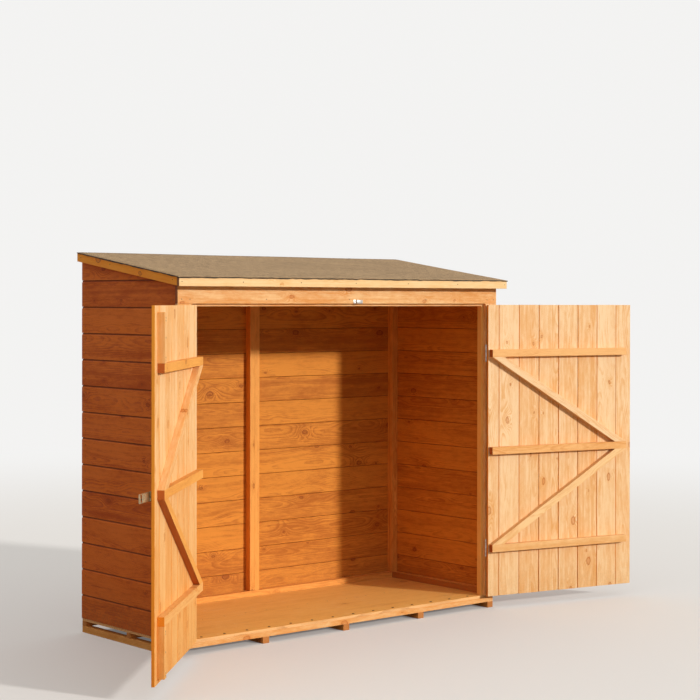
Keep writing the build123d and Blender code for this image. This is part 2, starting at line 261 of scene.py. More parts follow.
world = bpy.data.worlds.new("studio")
bpy.context.scene.world = world
world.use_nodes = True
sky = world.node_tree
sky.nodes.clear()
steepness = split(take(sky, "ShaderNodeTexCoord", None, "Generated"))[2]
sky_light = mix_colours(ease_between(steepness, *SKY_RISE), LOW_SKY, HIGH_SKY)
sky_colour = mix_colours(seen_directly(sky), sky_light, BACKDROP)
background = take(sky, "ShaderNodeBackground", {"Color": sky_colour, "Strength": 1.0})
add(sky, "ShaderNodeOutputWorld", {"Surface": background})

floor_finish = new_material("studio_floor")
tree = floor_finish.node_tree
direct = seen_directly(tree)
far = ease_between(calc("LENGTH", place_in(tree)), FADE_FROM, FADE_TO, NEAR_GLOW, 1.0)
floor_colour = mix_colours(direct, FLOOR_BOUNCE, FLOOR_TONE)
matt_inputs = {"Base Color": floor_colour, "Roughness": 0.9, "Specular IOR Level": 0.1}
matt = take(tree, "ShaderNodeBsdfPrincipled", matt_inputs)
glow = take(tree, "ShaderNodeEmission", {"Color": BACKDROP, "Strength": 1.0})
faded = take(tree, "ShaderNodeMixShader", {0: far * direct, 1: matt, 2: glow})
add(tree, "ShaderNodeOutputMaterial", {"Surface": faded})

bm = bmesh.new()
bmesh.ops.create_circle(bm, cap_ends=True, radius=FLOOR_RADIUS, segments=96)
floor_mesh = bpy.data.meshes.new("studio_floor")
bm.to_mesh(floor_mesh)
bm.free()
floor_mesh.materials.append(floor_finish)
studio_floor = bpy.data.objects.new("studio_floor", floor_mesh)
bpy.context.scene.collection.objects.link(studio_floor)
studio_floor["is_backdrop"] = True

lamp = bpy.data.lights.new("front_lamp", "SUN")
lamp.energy = LAMP_STRENGTH
lamp.angle = LAMP_SPREAD
lamp.color = LAMP_COLOUR
lamp_object = bpy.data.objects.new("front_lamp", lamp)
towards_lamp = pointing(math.pi - LAMP_TURN, LAMP_HEIGHT)
lamp_object.rotation_mode = "QUATERNION"
lamp_object.rotation_quaternion = towards_lamp.to_track_quat("Z", "Y")
bpy.context.scene.collection.objects.link(lamp_object)
print("lamp comes from", [round(v, 2) for v in towards_lamp])

# %% [markdown]
# ## Effects that several materials share
# Grain, wear, slate and plating are each a node group: built once, with named inputs and outputs, and
# placed in every material that needs it. The wear group also paints shade and warm bounced light near the
# ground. Groups put out only colours and numbers. The shader that uses them, and the bump that turns a
# height into a slant, stay in the material itself.

# %% Group helpers
def new_group(name, inputs):
    """An empty group. An input starts at a number, at four of them for a colour, or at None for a vector."""
    tree = bpy.data.node_groups.new(name, "ShaderNodeTree")
    for label, start in inputs.items():
        kind = "Vector" if start is None else "Color" if isinstance(start, tuple) else "Float"
        socket = tree.interface.new_socket(label, in_out="INPUT", socket_type=f"NodeSocket{kind}")
        if start is not None:
            socket.default_value = start
    entry = tree.nodes.new("NodeGroupInput")
    return tree, {label: Value(entry.outputs[label]) for label in inputs}


def put_out(tree, outputs):
    """Close a group: each named value becomes an output."""
    for label, value in outputs.items():
        kind = "Color" if value.wide else "Float"
        tree.interface.new_socket(label, in_out="OUTPUT", socket_type=f"NodeSocket{kind}")
    way_out = tree.nodes.new("NodeGroupOutput")
    for label, value in outputs.items():
        tree.links.new(value.socket, way_out.inputs[label])
    print(tree.name, "has", len(tree.nodes), "nodes")


def use_group(tree, group, inputs):
    """Place a group in a material; returns its outputs by name."""
    node = add(tree, "ShaderNodeGroup", inputs, node_tree=group)
    return {socket.name: Value(socket) for socket in node.outputs}


def shade(made, inputs, height, strength, depth):
    """End a material in a Principled shader, with bump from a height."""
    tree = made.node_tree
    bump = take(tree, "ShaderNodeBump", {"Height": height, "Strength": strength, "Distance": depth})
    surface = take(tree, "ShaderNodeBsdfPrincipled", {"Normal": bump, **inputs})
    add(tree, "ShaderNodeOutputMaterial", {"Surface": surface})
    return made


print("group helpers ready")

# %% [markdown]
# ## Stained pine
# Pine is sawn from a trunk, so what shows on a board is a slice through nested rings. The group below does
# the same: it measures how far each point is from the heart of the trunk, which lies behind the board at a
# place of its own, and lets that heart wander along the length. Cuts through such rings give straight lines
# near a board's edges and pointed arches along its middle. Knots are branches: rings close round them and
# their wood is darker. Every timber carries its own axes in an attribute named `timber`, x along the grain,
# y across the face and z through the thickness, with a `seed` that tells it from its neighbours. `end` marks
# its sawn ends, and `joint` says how deep in a joint a point lies.

# %% Group: pine grain
KNOT_PITCH = (0.26, 0.095)
KNOT_STRETCH = 1.7
KNOT_RING = 0.0018
KNOT_LEAST, KNOT_GROWTH = 0.0035, 0.009
KNOT_RAGGED = 0.011
HALO_SPREAD, HALO_FALL = 0.18, -1.4
RING_SPREAD = 0.11
RINGS_RAGGED, RINGS_ROUND_KNOT = 0.35, 6.0
HEART_BEHIND = (0.014, 0.06)
HEART_WANDERS = (0.09, 0.06)
# How often each kind of variation repeats in a metre, along the grain and twice across it
WANDER_RATE = (1.9, 6.0, 6.0)
RAGGED_RATE = (55.0, 90.0, 90.0)
FIBRE_RATE = (14.0, 520.0, 520.0)
PATCH_RATE = (3.5, 15.0, 15.0)
MOTTLE_RATE = (24.0, 75.0, 75.0)
STREAK_RATE = (5.0, 110.0, 110.0)

pine, given = new_group("Pine grain", {
    "Timber": None,
    "Seed": 0.0,
    "End": 0.0,
    "Joint": 0.0,
    "Early wood": (0.8, 0.45, 0.2, 1),
    "Late wood": (0.6, 0.26, 0.08, 1),
    "Knot wood": (0.4, 0.14, 0.04, 1),
    "End wood": (0.3, 0.11, 0.04, 1),
    "Ring gap": 0.004,
    "Knot share": 0.5,
    "Contrast": 1.0,
})
timber, seed = given["Timber"], given["Seed"]
along, over, through = split(timber)
chance, chance_colour = take(
    pine, "ShaderNodeTexWhiteNoise", {"W": seed}, "Value", "Color", noise_dimensions="1D")
chances = split(chance_colour)


def uneven(rate, **settings):
    """Noise around 0 on the timber's own axes."""
    return noise(timber * rate, seed=seed, **settings) - 0.5


# The heart of the trunk, wandering along the length
wander = uneven(WANDER_RATE)
heart_over = (chances[0] - 0.5) * RING_SPREAD
heart_behind = chances[1] * HEART_BEHIND[1] + HEART_BEHIND[0]
off_heart = over - heart_over + wander * HEART_WANDERS[0]
above_heart = through + heart_behind + wander * HEART_WANDERS[1]
radius = calc("LENGTH", join(off_heart, above_heart))

# Knots: one chance in each cell of a loose pattern, each with its own size, drawn out along the grain
knot_place = join(seed * 17.3 + along / KNOT_PITCH[0], seed * 9.1 + over / KNOT_PITCH[1])
cell_inputs = {"Vector": knot_place, "Scale": 1.0, "Randomness": 0.95}
cell_colour, cell_middle = take(
    pine, "ShaderNodeTexVoronoi", cell_inputs, "Color", "Position", voronoi_dimensions="2D")
size_chance, knot_chance, _ = split(cell_colour)
to_knot = (knot_place - cell_middle) * (KNOT_PITCH[0] / KNOT_STRETCH, KNOT_PITCH[1], 0.0)
ragged = uneven(RAGGED_RATE)
knot_reach = ragged * KNOT_RAGGED + calc("LENGTH", to_knot)
knot_ratio = knot_reach / (size_chance ** 2.0 * KNOT_GROWTH + KNOT_LEAST)
knot_there = calc("GREATER_THAN", given["Knot share"], knot_chance)
knot = ease_between(knot_ratio, 0.8, 1.15, 1.0, 0.0) * knot_there
halo = (knot_ratio ** 2.0 * HALO_SPREAD + 1.0) ** HALO_FALL * knot_there

# Rings: slow pale spring wood that darkens to a hard edge, in zones of wider and denser growth
turns = radius / given["Ring gap"] + ragged * RINGS_RAGGED + halo * RINGS_ROUND_KNOT
year = calc("FRACT", turns)
late = ease_between(year, 0.3, 0.93) * ease_between(year, 0.93, 1.0, 1.0, 0.0)
zone_inputs = {"W": turns * 0.23 + seed * 3.7, "Scale": 1.0, "Detail": 2.0}
zone = take(pine, "ShaderNodeTexNoise", zone_inputs, noise_dimensions="1D") - 0.5

# Fibres, stain taken up unevenly, resin streaks, and the tone of the whole board
fibre = uneven(FIBRE_RATE, detail=3.0, roughness=0.6)
patch = uneven(PATCH_RATE, detail=4.0, roughness=0.6)
mottle = uneven(MOTTLE_RATE, detail=3.0, roughness=0.6)
streaks = noise(timber * STREAK_RATE, seed=seed)
dark_streak = ease_between(streaks, 0.62, 0.8)
pale_streak = ease_between(streaks, 0.26, 0.42, 1.0, 0.0)
depth = late * 0.4 + 0.16 + fibre * 0.7 + patch * 1.25 + mottle + zone * 0.9 + (chance - 0.5) * 0.5
depth = depth + dark_streak * 0.5 - pale_streak * 0.4 + halo * 0.2 + halo * late * 0.9
depth = take(pine, "ShaderNodeClamp", {"Value": depth * given["Contrast"], "Max": 1.3})
face = mix_colours(depth, given["Early wood"], given["Late wood"])

# Knot wood: warm in the middle with rings of its own, and a thin dark rim of bark
knot_year = calc("FRACT", knot_reach / KNOT_RING)
rim = ease_between(knot_ratio, 0.55, 0.95) * knot
face = mix_colours(knot * 0.25 + knot_year * knot * 0.25 + rim * 0.65, face, given["Knot wood"])

# Painted shade deep in the joints and a painted highlight along their edges, where the cove catches the light;
# sawn ends drink more stain
deep = given["Joint"]
face = face * (deep * (1.0 - deep) * 0.9 + deep ** 2.0 * -0.75 + 1.0)
end_tone = mix_colours(late * 0.6, given["End wood"], given["Knot wood"])
put_out(pine, {
    "Color": mix_colours(given["End"], face, end_tone),
    "Roughness": patch * 0.2 + late * -0.08 + 0.58,
    "Height": late * 0.35 + knot * 0.5 + fibre,
})

# %% [markdown]
# ## Weather, use and painted shade near the ground
# Rain that falls beside the store splashes grit against its lowest boards, and use scratches its floor. The
# first mask fades out some 300 mm above the ground and is broken into spots. The second is made of thin
# lines, which a stretched noise gives wherever it crosses one chosen value. The third says how near the
# ground a place is; there the colour is made deeper and warmer, as painted shade and warm bounced light.

# %% Group: wear and painted shade near the ground
# Height up to which shade and warm bounced light are painted near the ground
GROUND_SHADE_TOP = 1.25
SCRATCH_STRETCHES = ((3.0, 60.0, 1.0), (45.0, 5.0, 1.0))
SCRATCH_WIDTH = 0.012

wear_and_shade, given = new_group("Wear and ground shade", {"Place": None, "Splash top": 0.34})
spot = given["Place"]
ground_up = split(spot)[2]
reach = ground_up / given["Splash top"] + noise(spot, scale=7.0, detail=3.0) * 0.35
spots = ease_between(noise(spot, scale=130.0, detail=3.0, roughness=0.7), 0.42, 0.62, 0.35, 1.0)
lines = []
for stretch in SCRATCH_STRETCHES:
    off_line = calc("ABSOLUTE", noise(spot * stretch, detail=1.0) - 0.5)
    lines.append(ease_between(off_line, 0.0, SCRATCH_WIDTH, 1.0, 0.0))
broken = ease_between(noise(spot, scale=9.0), 0.5, 0.62)
put_out(wear_and_shade, {
    "Splash": ease_between(reach, 0.25, 1.05, 1.0, 0.0) * spots,
    "Scratches": calc("MAXIMUM", *lines) * broken,
    # Painted shade and warm bounced light near the ground
    "Ground shade": ease_between(ground_up, 0.0, GROUND_SHADE_TOP, 1.0, 0.0),
})

# %% [markdown]
# ## Finishes for the timber
# The store has been dipped in a honey coloured stain. It lies darker on the rough sawn wall boards than on
# the planed doors, and palest on the fascia. Each finish is the same group with its own colours, so a new
# stain is a matter of four colours: spring wood, late wood, knots and sawn ends.

# %% Timber materials
GRIT = (0.20, 0.125, 0.07, 1.0)
GRIT_DULLS = 0.25
SCUFFED = (0.86, 0.60, 0.34, 1.0)
# Tint of the painted shade and warm bounced light near the ground
GROUND_SHADE_TINT = (0.93, 0.74, 0.45, 1.0)


def timber_material(name, early, late_wood, knot_wood, end_wood, ring_gap=0.004, knot_share=0.3, contrast=1.0,
                    relief=0.0007, splash=0.45, scratches=0.0, ground_shade=0.0, gloss=0.2):
    """A stained timber: the grain group, read along each piece's own axes, and the wear group, which also paints
    shade and warm bounced light near the ground.
    """
    made = new_material(name)
    tree = made.node_tree
    inputs = {"Ring gap": ring_gap, "Knot share": knot_share, "Contrast": contrast}
    for label, colour in (("Early", early), ("Late", late_wood), ("Knot", knot_wood), ("End", end_wood)):
        inputs[f"{label} wood"] = (*colour, 1.0)
    for label in ("Timber", "Seed", "End", "Joint"):
        output = "Vector" if label == "Timber" else "Fac"
        inputs[label] = take(tree, "ShaderNodeAttribute", None, output, attribute_name=label.lower())
    grain = use_group(tree, pine, inputs)
    use = use_group(tree, wear_and_shade, {"Place": place_in(tree)})
    # Painted shade and warm bounced light near the ground, as much as each finish asks for
    colour = mix_colours(use["Ground shade"] * ground_shade, grain["Color"], GROUND_SHADE_TINT, "MULTIPLY")
    colour = mix_colours(use["Splash"] * splash, colour, GRIT)
    colour = mix_colours(use["Scratches"] * scratches, colour, SCUFFED)
    rough = use["Splash"] * GRIT_DULLS + grain["Roughness"]
    inputs = {"Base Color": colour, "Roughness": rough, "Specular IOR Level": gloss}
    return shade(made, inputs, grain["Height"], strength=0.5, depth=relief)


DOOR = {"knot_share": 0.4, "contrast": 1.3, "splash": 0.16}
BATTEN = {"ring_gap": 0.0035, "knot_share": 0.25, "splash": 0.1}
SHEET = {"ring_gap": 0.012, "knot_share": 0.08, "relief": 0.0003, "splash": 0.0}
DOOR_KNOT, DOOR_END = (0.52, 0.15, 0.02), (0.96, 0.37, 0.035)
LEDGE_END = (0.52, 0.14, 0.03)
# Each finish says how much painted shade and warm bounced light it takes near the ground
wall_stain = timber_material(
    "wall_stain", (0.76, 0.19, 0.027), (0.46, 0.082, 0.010), (0.30, 0.052, 0.007), (0.26, 0.07, 0.016),
    contrast=1.3, splash=0.35, ground_shade=0.6, gloss=0.1)
# The inside faces of the same wall boards, coloured to paint the shade inside the store
inside_shade_stain = timber_material(
    "inside_shade_stain", (0.72, 0.27, 0.038), (0.45, 0.132, 0.018), (0.24, 0.05, 0.01), (0.26, 0.07, 0.016),
    knot_share=0.4, contrast=1.3, splash=0.2, gloss=0.12)
left_door_stain = timber_material(
    "left_door_stain", (0.92, 0.62, 0.325), (0.79, 0.38, 0.115), DOOR_KNOT, DOOR_END, ground_shade=1.0, **DOOR)
right_door_stain = timber_material(
    "right_door_stain", (0.92, 0.65, 0.375), (0.80, 0.405, 0.138), DOOR_KNOT, DOOR_END, ground_shade=0.3, **DOOR)
left_ledge_stain = timber_material(
    "left_ledge_stain", (0.88, 0.42, 0.10), (0.70, 0.26, 0.045), (0.46, 0.12, 0.02), (0.49, 0.115, 0.02),
    contrast=1.1, **BATTEN)
right_ledge_stain = timber_material(
    "right_ledge_stain", (0.90, 0.50, 0.19), (0.74, 0.31, 0.075), (0.50, 0.14, 0.02), LEDGE_END,
    contrast=1.2, **BATTEN)
pale_ledge_stain = timber_material(
    "pale_ledge_stain", (0.92, 0.60, 0.285), (0.77, 0.37, 0.11), (0.50, 0.14, 0.02), LEDGE_END,
    contrast=1.2, **BATTEN)
header_stain = timber_material(
    "header_stain", (0.91, 0.59, 0.28), (0.74, 0.30, 0.07), (0.50, 0.13, 0.02), (0.27, 0.075, 0.02),
    knot_share=0.8, contrast=1.5, splash=0.0)
fascia_stain = timber_material(
    "fascia_stain", (0.92, 0.66, 0.35), (0.83, 0.50, 0.20), (0.70, 0.28, 0.055), (0.16, 0.045, 0.014),
    knot_share=0.9, splash=0.0)
barge_stain = timber_material(
    "barge_stain", (0.99, 0.39, 0.036), (0.92, 0.285, 0.017), (0.40, 0.10, 0.015), (0.36, 0.12, 0.03),
    contrast=1.2, splash=0.0)
batten_stain = timber_material(
    "batten_stain", (0.87, 0.42, 0.115), (0.64, 0.23, 0.042), (0.40, 0.10, 0.016), (0.55, 0.21, 0.05),
    contrast=1.2, **BATTEN)
framing_stain = timber_material(
    "framing_stain", (0.87, 0.38, 0.08), (0.62, 0.215, 0.033), (0.38, 0.10, 0.015), (0.50, 0.18, 0.04),
    contrast=1.2, **BATTEN)
# Bright colours that paint the light bounced onto the jambs' shaded reveals
jamb_bounce_lit_stain = timber_material(
    "jamb_bounce_lit_stain", (0.99, 0.56, 0.17), (0.92, 0.42, 0.09), (0.60, 0.18, 0.03), (0.55, 0.21, 0.05),
    knot_share=0.25, splash=0.1)
sheet_stain = timber_material(
    "sheet_stain", (0.90, 0.475, 0.12), (0.70, 0.295, 0.06), (0.46, 0.15, 0.03), (0.88, 0.49, 0.205),
    scratches=0.35, **SHEET)
bare_sheet = timber_material(
    "bare_sheet", (0.42, 0.27, 0.14), (0.30, 0.17, 0.08), (0.22, 0.11, 0.05), (0.34, 0.20, 0.10), **SHEET)
print("timber finishes", [m.name for m in bpy.data.materials if m.name.endswith("stain")])

# %% [markdown]
# ## A pile of timbers
# Every wall and door is many timbers in one mesh. A timber is built lying along its own x axis, where
# cutting and easing it is simple, and only then moved to its place by a matrix. Its points keep their own
# coordinates in the `timber` attribute, which is how the grain follows each piece whichever way it stands.
# A piece that stands for a CAD node takes that node's body from the record.

# %% Collecting timbers into one mesh
BOARD = 0.012
SEEDS = 50.0
FACES_THAT_WAY = 0.7
BODY_OF = {node: body for body, nodes in frame["record"]["behaviour"]["bodies"].items() for node in nodes}
SLOT_OF = {part["node"]: part["material_slot"] for part in frame["record"]["subparts"]}


def new_pile():
    return {"points": [], "faces": [], "timber": [], "seed": [], "end": [], "joint": []}


def add_to_pile(pile, bm, place, seed_number, centre=(0.0, 0.0, 0.0), joint_deep=None, end_tone_sides=0.0):
    """Move one timber to its place and store its own axes beside it.

    joint_deep is a joint's full depth; end_tone_sides says how much the narrow sides take the colour of the ends.
    """
    own = [v.co - Vector(centre) for v in bm.verts]
    sunk = [BOARD / 2 - abs(v.z) for v in own]
    pile["joint"] += [min(1.0, max(0.0, s / joint_deep)) if joint_deep else 0.0 for s in sunk]
    bmesh.ops.recalc_face_normals(bm, faces=bm.faces)
    for f in bm.faces:
        narrow = end_tone_sides if abs(f.normal.y) > FACES_THAT_WAY else 0.0
        pile["end"].append(1.0 if abs(f.normal.x) > FACES_THAT_WAY else narrow)
    bmesh.ops.transform(bm, matrix=place, verts=bm.verts)
    bmesh.ops.recalc_face_normals(bm, faces=bm.faces)
    first = len(pile["points"])
    bm.verts.index_update()
    pile["points"] += [v.co.copy() for v in bm.verts]
    pile["faces"] += [[first + v.index for v in f.verts] for f in bm.faces]
    pile["timber"] += own
    pile["seed"] += [seed_number] * len(own)
    bm.free()


def store_attribute(mesh, name, kind, domain, values):
    attribute = mesh.attributes.new(name, kind, domain)
    flat = [c for value in values for c in value] if kind == "FLOAT_VECTOR" else list(values)
    attribute.data.foreach_set("vector" if kind == "FLOAT_VECTOR" else "value", flat)


def finish_piece(name, mesh, finish, stands_for=(), body="shed", slot="stained_pine"):
    """Link the mesh as a piece of the store: its finish and body, and the CAD nodes it stands for; the slot is not
    used.
    """
    if stands_for:
        body, slot = BODY_OF[stands_for[0]], SLOT_OF[stands_for[0]]
    mesh.materials.append(finish)
    piece = bpy.data.objects.new(name, mesh)
    bpy.context.scene.collection.objects.link(piece)
    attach(piece, body)
    if stands_for:
        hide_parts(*stands_for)
    return piece


def pile_to_piece(name, pile, finish, stands_for=(), body="shed"):
    mesh = bpy.data.meshes.new(name)
    mesh.from_pydata(pile["points"], [], pile["faces"])
    store_attribute(mesh, "timber", "FLOAT_VECTOR", "POINT", pile["timber"])
    for label, domain in (("seed", "POINT"), ("joint", "POINT"), ("end", "FACE")):
        store_attribute(mesh, label, "FLOAT", domain, pile[label])
    return finish_piece(name, mesh, finish, stands_for, body)


def axes_at(x_axis, y_axis, z_axis, corner=(0.0, 0.0, 0.0)):
    """Matrix that lays a timber's own axes along three directions, from a corner."""
    axes = Matrix((x_axis, y_axis, z_axis)).transposed().to_4x4()
    axes.translation = corner
    return axes


def board_mesh(outline, near, far):
    """A board: its outline, as (across, through) points, drawn out along x from near to far."""
    bm = bmesh.new()
    first = [bm.verts.new((near, a, t)) for a, t in outline]
    last = [bm.verts.new((far, a, t)) for a, t in outline]
    bm.faces.new(first[::-1])
    bm.faces.new(last)
    for n in range(len(outline)):
        m = (n + 1) % len(outline)
        bm.faces.new((first[n], first[m], last[m], last[n]))
    return bm


def cut_off(bm, place, point, normal):
    """Saw off what lies beyond a plane that is given in the store's axes, and close the cut."""
    back = place.inverted()
    plane_normal = back.to_3x3() @ Vector(normal)
    everything = bm.verts[:] + bm.edges[:] + bm.faces[:]
    bmesh.ops.bisect_plane(bm, geom=everything, dist=1e-6, plane_co=back @ Vector(point),
                           plane_no=plane_normal, clear_outer=True)
    open_edges = [e for e in bm.edges if e.is_boundary]
    if open_edges:
        bmesh.ops.edgeloop_fill(bm, edges=open_edges)


print("timbers can be piled")

# %% [markdown]
# ## Wall boards
# The walls are shiplap: each board has a cove along its upper edge and half its thickness stands up behind
# the board above, so rain cannot run in. Modelling the real section pays off at every joint, where the
# cove, the lip above it and the thin dark gap all catch the light in their own way. The lowest course shows
# 102 mm of its boards and the others 112 mm, and the top ones are sawn along the slope of the roof.

# %% Section of a shiplap board
COVER = 0.112
FIRST_COURSE = 0.102
COVE_HIGH, COVE_DEEP = 0.009, 0.003
LIP = 0.007
GAP = 0.0006
INNER_GAP = 0.0018
ARRIS = 0.0007
INNER_ARRIS = 0.0012
COVE_FLATS = 6


def shiplap_section(height, lowest, topmost):
    """Outline of one board, as (height above its lower joint, depth from its outer face)."""
    outline = [(ARRIS if lowest else GAP + ARRIS, 0.0)]
    if topmost:
        outline += [(height, 0.0), (height, BOARD)]
    else:
        for n in range(COVE_FLATS + 1):
            turn = math.pi / 2 * n / COVE_FLATS
            outline.append((height - COVE_HIGH * math.cos(turn), COVE_DEEP * math.sin(turn)))
        shelf = height - GAP
        outline[-1] = (shelf, COVE_DEEP)
        outline += [(shelf, BOARD / 2 + GAP), (height + LIP - ARRIS, BOARD / 2 + GAP)]
        outline += [(height + LIP, BOARD / 2 + GAP + ARRIS), (height + LIP, BOARD - INNER_ARRIS),
                    (height + LIP - INNER_ARRIS, BOARD)]
    if lowest:
        outline += [(ARRIS, BOARD), (0.0, BOARD - ARRIS), (0.0, ARRIS)]
    else:
        inner = LIP + INNER_GAP
        outline += [(inner + INNER_ARRIS, BOARD), (inner, BOARD - INNER_ARRIS), (inner, BOARD / 2 - GAP)]
        outline += [(GAP, BOARD / 2 - GAP), (GAP, ARRIS)]
    return outline


def courses(low, high):
    """The lower and upper joint of each course of boards between two heights."""
    joints = [low, low + FIRST_COURSE]
    while joints[-1] + COVER < high - COVE_HIGH:
        joints.append(joints[-1] + COVER)
    return list(zip(joints, joints[1:] + [high]))


print("shiplap outline has", len(shiplap_section(COVER, False, False)), "corners")

# %% Board the three walls
ROOF_RISE, ROOF_RUN = 0.110, 0.761
ROOF_SLOPE = Vector((0.0, -ROOF_RISE, ROOF_RUN)).normalized()
UP, SIDE, DEEP = Vector((0, 0, 1)), Vector((1, 0, 0)), Vector((0, 1, 0))
NAIL_PROUD = 0.0005
END_SLACK = 0.0008
FACES_IN = 0.3
wall_dice = random.Random(31)


def board_wall(wall, corner, inward, along_wall, lengths):
    """Fill one CAD wall with courses of shiplap, and give the faces that look inwards the inside finish, which
    paints the shade inside the store.

    lengths holds the start and end of each panel along the wall.
    """
    node = f"{wall}_boards"
    low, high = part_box(node)
    pile = new_pile()
    rows = courses(low.z, high.z)
    for row, (bottom, top) in enumerate(rows):
        outline = shiplap_section(top - bottom, row == 0, row == len(rows) - 1)
        place = axes_at(along_wall, UP, inward, corner + UP * bottom)
        for near, far in lengths:
            slack = wall_dice.uniform(0.0, END_SLACK)
            bm = board_mesh(outline, near + slack, far - wall_dice.uniform(0.0, END_SLACK))
            cut_off(bm, place, (0.0, high.y, high.z), ROOF_SLOPE)
            if not bm.faces:
                bm.free()
                continue
            middle = (0.0, (top - bottom) / 2, BOARD / 2)
            add_to_pile(pile, bm, place, wall_dice.uniform(0, SEEDS), middle, COVE_DEEP)
    piece = pile_to_piece(f"{wall}_shiplap", pile, wall_stain, [node])
    piece.data.materials.append(inside_shade_stain)
    for polygon in piece.data.polygons:
        polygon.material_index = int(polygon.normal.dot(inward) > FACES_IN)
    print(piece.name, "has", len(rows), "courses and", len(piece.data.polygons), "faces")


left_low, left_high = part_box("left_wall_boards")
right_low, right_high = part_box("right_wall_boards")
back_low, back_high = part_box("back_wall_boards")
side_length = [(0.0, left_high.y - left_low.y)]
half_back = back_high.x
board_wall("left_wall", Vector((left_low.x, left_low.y, 0.0)), SIDE, DEEP, side_length)
board_wall("right_wall", Vector((right_high.x, right_low.y, 0.0)), -SIDE, DEEP, side_length)
board_wall("back_wall", Vector((0.0, back_high.y - NAIL_PROUD, 0.0)), -DEEP, SIDE,
           [(-half_back, -GAP), (GAP, half_back)])

# %% [markdown]
# ## Door boards
# The doors are tongued and grooved boards with a V along each joint. The boards at a door's two edges are
# ripped narrower, and the six between them are whole. They are laid in the closed door's axes and then
# swung open about the hinge pin, by the angle that the frame gives for the closed position.

# %% Section of a tongued board
CRACK = 0.0003
OPEN_CRACKS = (0.0006, 0.0010, 0.0014)
VEE = 0.002
FINE_VEE = 0.0010
TONGUE_OUT = 0.0045
TONGUE = (0.0043, 0.0077)


def tongued_section(width, near_crack, far_crack):
    """Outline of one door board, as (distance from its near joint, depth from the door's outer face).

    A crack is how far the board stays back from the joint's middle; at the door's own edges it is None.
    """
    first, last = near_crack is None, far_crack is None
    near = near_crack or 0.0
    far = width - (far_crack or 0.0)
    start_vee, fine_start = (ARRIS, ARRIS) if first else (VEE, FINE_VEE)
    end_vee, fine_end = (ARRIS, ARRIS) if last else (VEE, FINE_VEE)
    outline = [(near, start_vee), (near + start_vee, 0.0), (far - end_vee, 0.0), (far, end_vee)]
    if not last:
        tip = far + TONGUE_OUT
        outline += [(far, TONGUE[0]), (tip, TONGUE[0] + CRACK), (tip, TONGUE[1] - CRACK), (far, TONGUE[1])]
    outline += [(far, BOARD - fine_end), (far - fine_end, BOARD)]
    outline += [(near + fine_start, BOARD), (near, BOARD - fine_start)]
    if not first:
        root = near + TONGUE_OUT + CRACK
        outline += [(near, TONGUE[1] + CRACK), (root, TONGUE[1])]
        outline += [(root, TONGUE[0]), (near, TONGUE[0] - CRACK)]
    return outline


# %% The two doors' axes
DOOR_FIRST = 0.060
DOOR_WIDTH = 0.818
HINGE_EDGE = 0.821
DOOR_FACE = -0.359
door_bottom, door_top = (corner.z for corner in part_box("right_door_boards"))
door_dice = random.Random(12)
hinges = {joint["name"]: joint for joint in frame["joints"]}


def swung_open(joint):
    """Matrix that takes a closed door to where the frame has it at rest."""
    pin = Vector(joint["pos_m"])
    turn = Matrix.Rotation(-math.radians(joint["range_deg"][0]), 4, Vector(joint["axis"]))
    return Matrix.Translation(pin) @ turn @ Matrix.Translation(-pin)


def closed_axes(sign):
    """A closed door's axes: x up its boards, y from the hinge edge to the free edge, z inwards."""
    return axes_at(UP, -sign * SIDE, DEEP, (sign * HINGE_EDGE, DOOR_FACE, door_bottom))


def door_joints():
    joints = [0.0, DOOR_FIRST]
    while joints[-1] + COVER < DOOR_WIDTH:
        joints.append(joints[-1] + COVER)
    return joints + [DOOR_WIDTH]


doors = {}
for side, sign in (("right", 1), ("left", -1)):
    doors[side] = swung_open(hinges[f"{side}_door_hinge"]) @ closed_axes(sign)
door_stains = {"right": right_door_stain, "left": left_door_stain}
print("doors", {side: [round(v, 3) for v in axes.translation] for side, axes in doors.items()})

# %% Board the two doors
DOOR_TRIM = 0.0007
for side, axes in doors.items():
    pile = new_pile()
    joints = door_joints()
    cracks = [None] + [door_dice.choice(OPEN_CRACKS) for _ in joints[1:-1]] + [None]
    for n, (near, far) in enumerate(zip(joints, joints[1:])):
        outline = tongued_section(far - near, cracks[n], cracks[n + 1])
        trim_low, trim_top = door_dice.uniform(0, DOOR_TRIM), door_dice.uniform(0, DOOR_TRIM)
        bm = board_mesh(outline, trim_low, door_top - door_bottom - trim_top)
        place = axes @ Matrix.Translation((0, near, 0))
        middle = (0.0, (far - near) / 2, BOARD / 2)
        add_to_pile(pile, bm, place, door_dice.uniform(0, SEEDS), middle, VEE, end_tone_sides=1.0)
    piece = pile_to_piece(f"{side}_door_tongued_boards", pile, door_stains[side], [f"{side}_door_boards"])
    print(piece.name, len(joints) - 1, "boards")

# %% [markdown]
# ## Posts, rails, ledges and trim
# Sawn battens have a fine rounding along every edge, called an eased arris. A sharp CAD edge reflects
# nothing, while an eased one shows as a thin bright line, which is much of what makes timber look solid.
# Each CAD node is copied, its flat faces are joined up, its edges are eased and it stands in for the node.
# Where one node holds several timbers, each gets a seed of its own.

# %% Ease the arrises of a CAD timber
EASE = 0.0012
TIMBER_EDGE = 20
timber_dice = random.Random(77)


def plain_copy(node):
    """A CAD node's mesh with its points welded and its flat faces joined up."""
    bm = bmesh.new()
    bm.from_mesh(frame["nodes"][node].data)
    bmesh.ops.remove_doubles(bm, verts=bm.verts, dist=1e-5)
    bmesh.ops.dissolve_limit(bm, angle_limit=math.radians(1), verts=bm.verts, edges=bm.edges)
    return bm


def ease_edges(bm, offset, sharper_than=None):
    """Round the edges, or only those where two faces meet at more than so many degrees."""
    edges = bm.edges[:]
    if sharper_than:
        edges = [e for e in edges if e.is_manifold and e.calc_face_angle() > math.radians(sharper_than)]
    bmesh.ops.bevel(bm, geom=edges, offset=offset, segments=2, profile=0.5, affect="EDGES",
                    clamp_overlap=True)


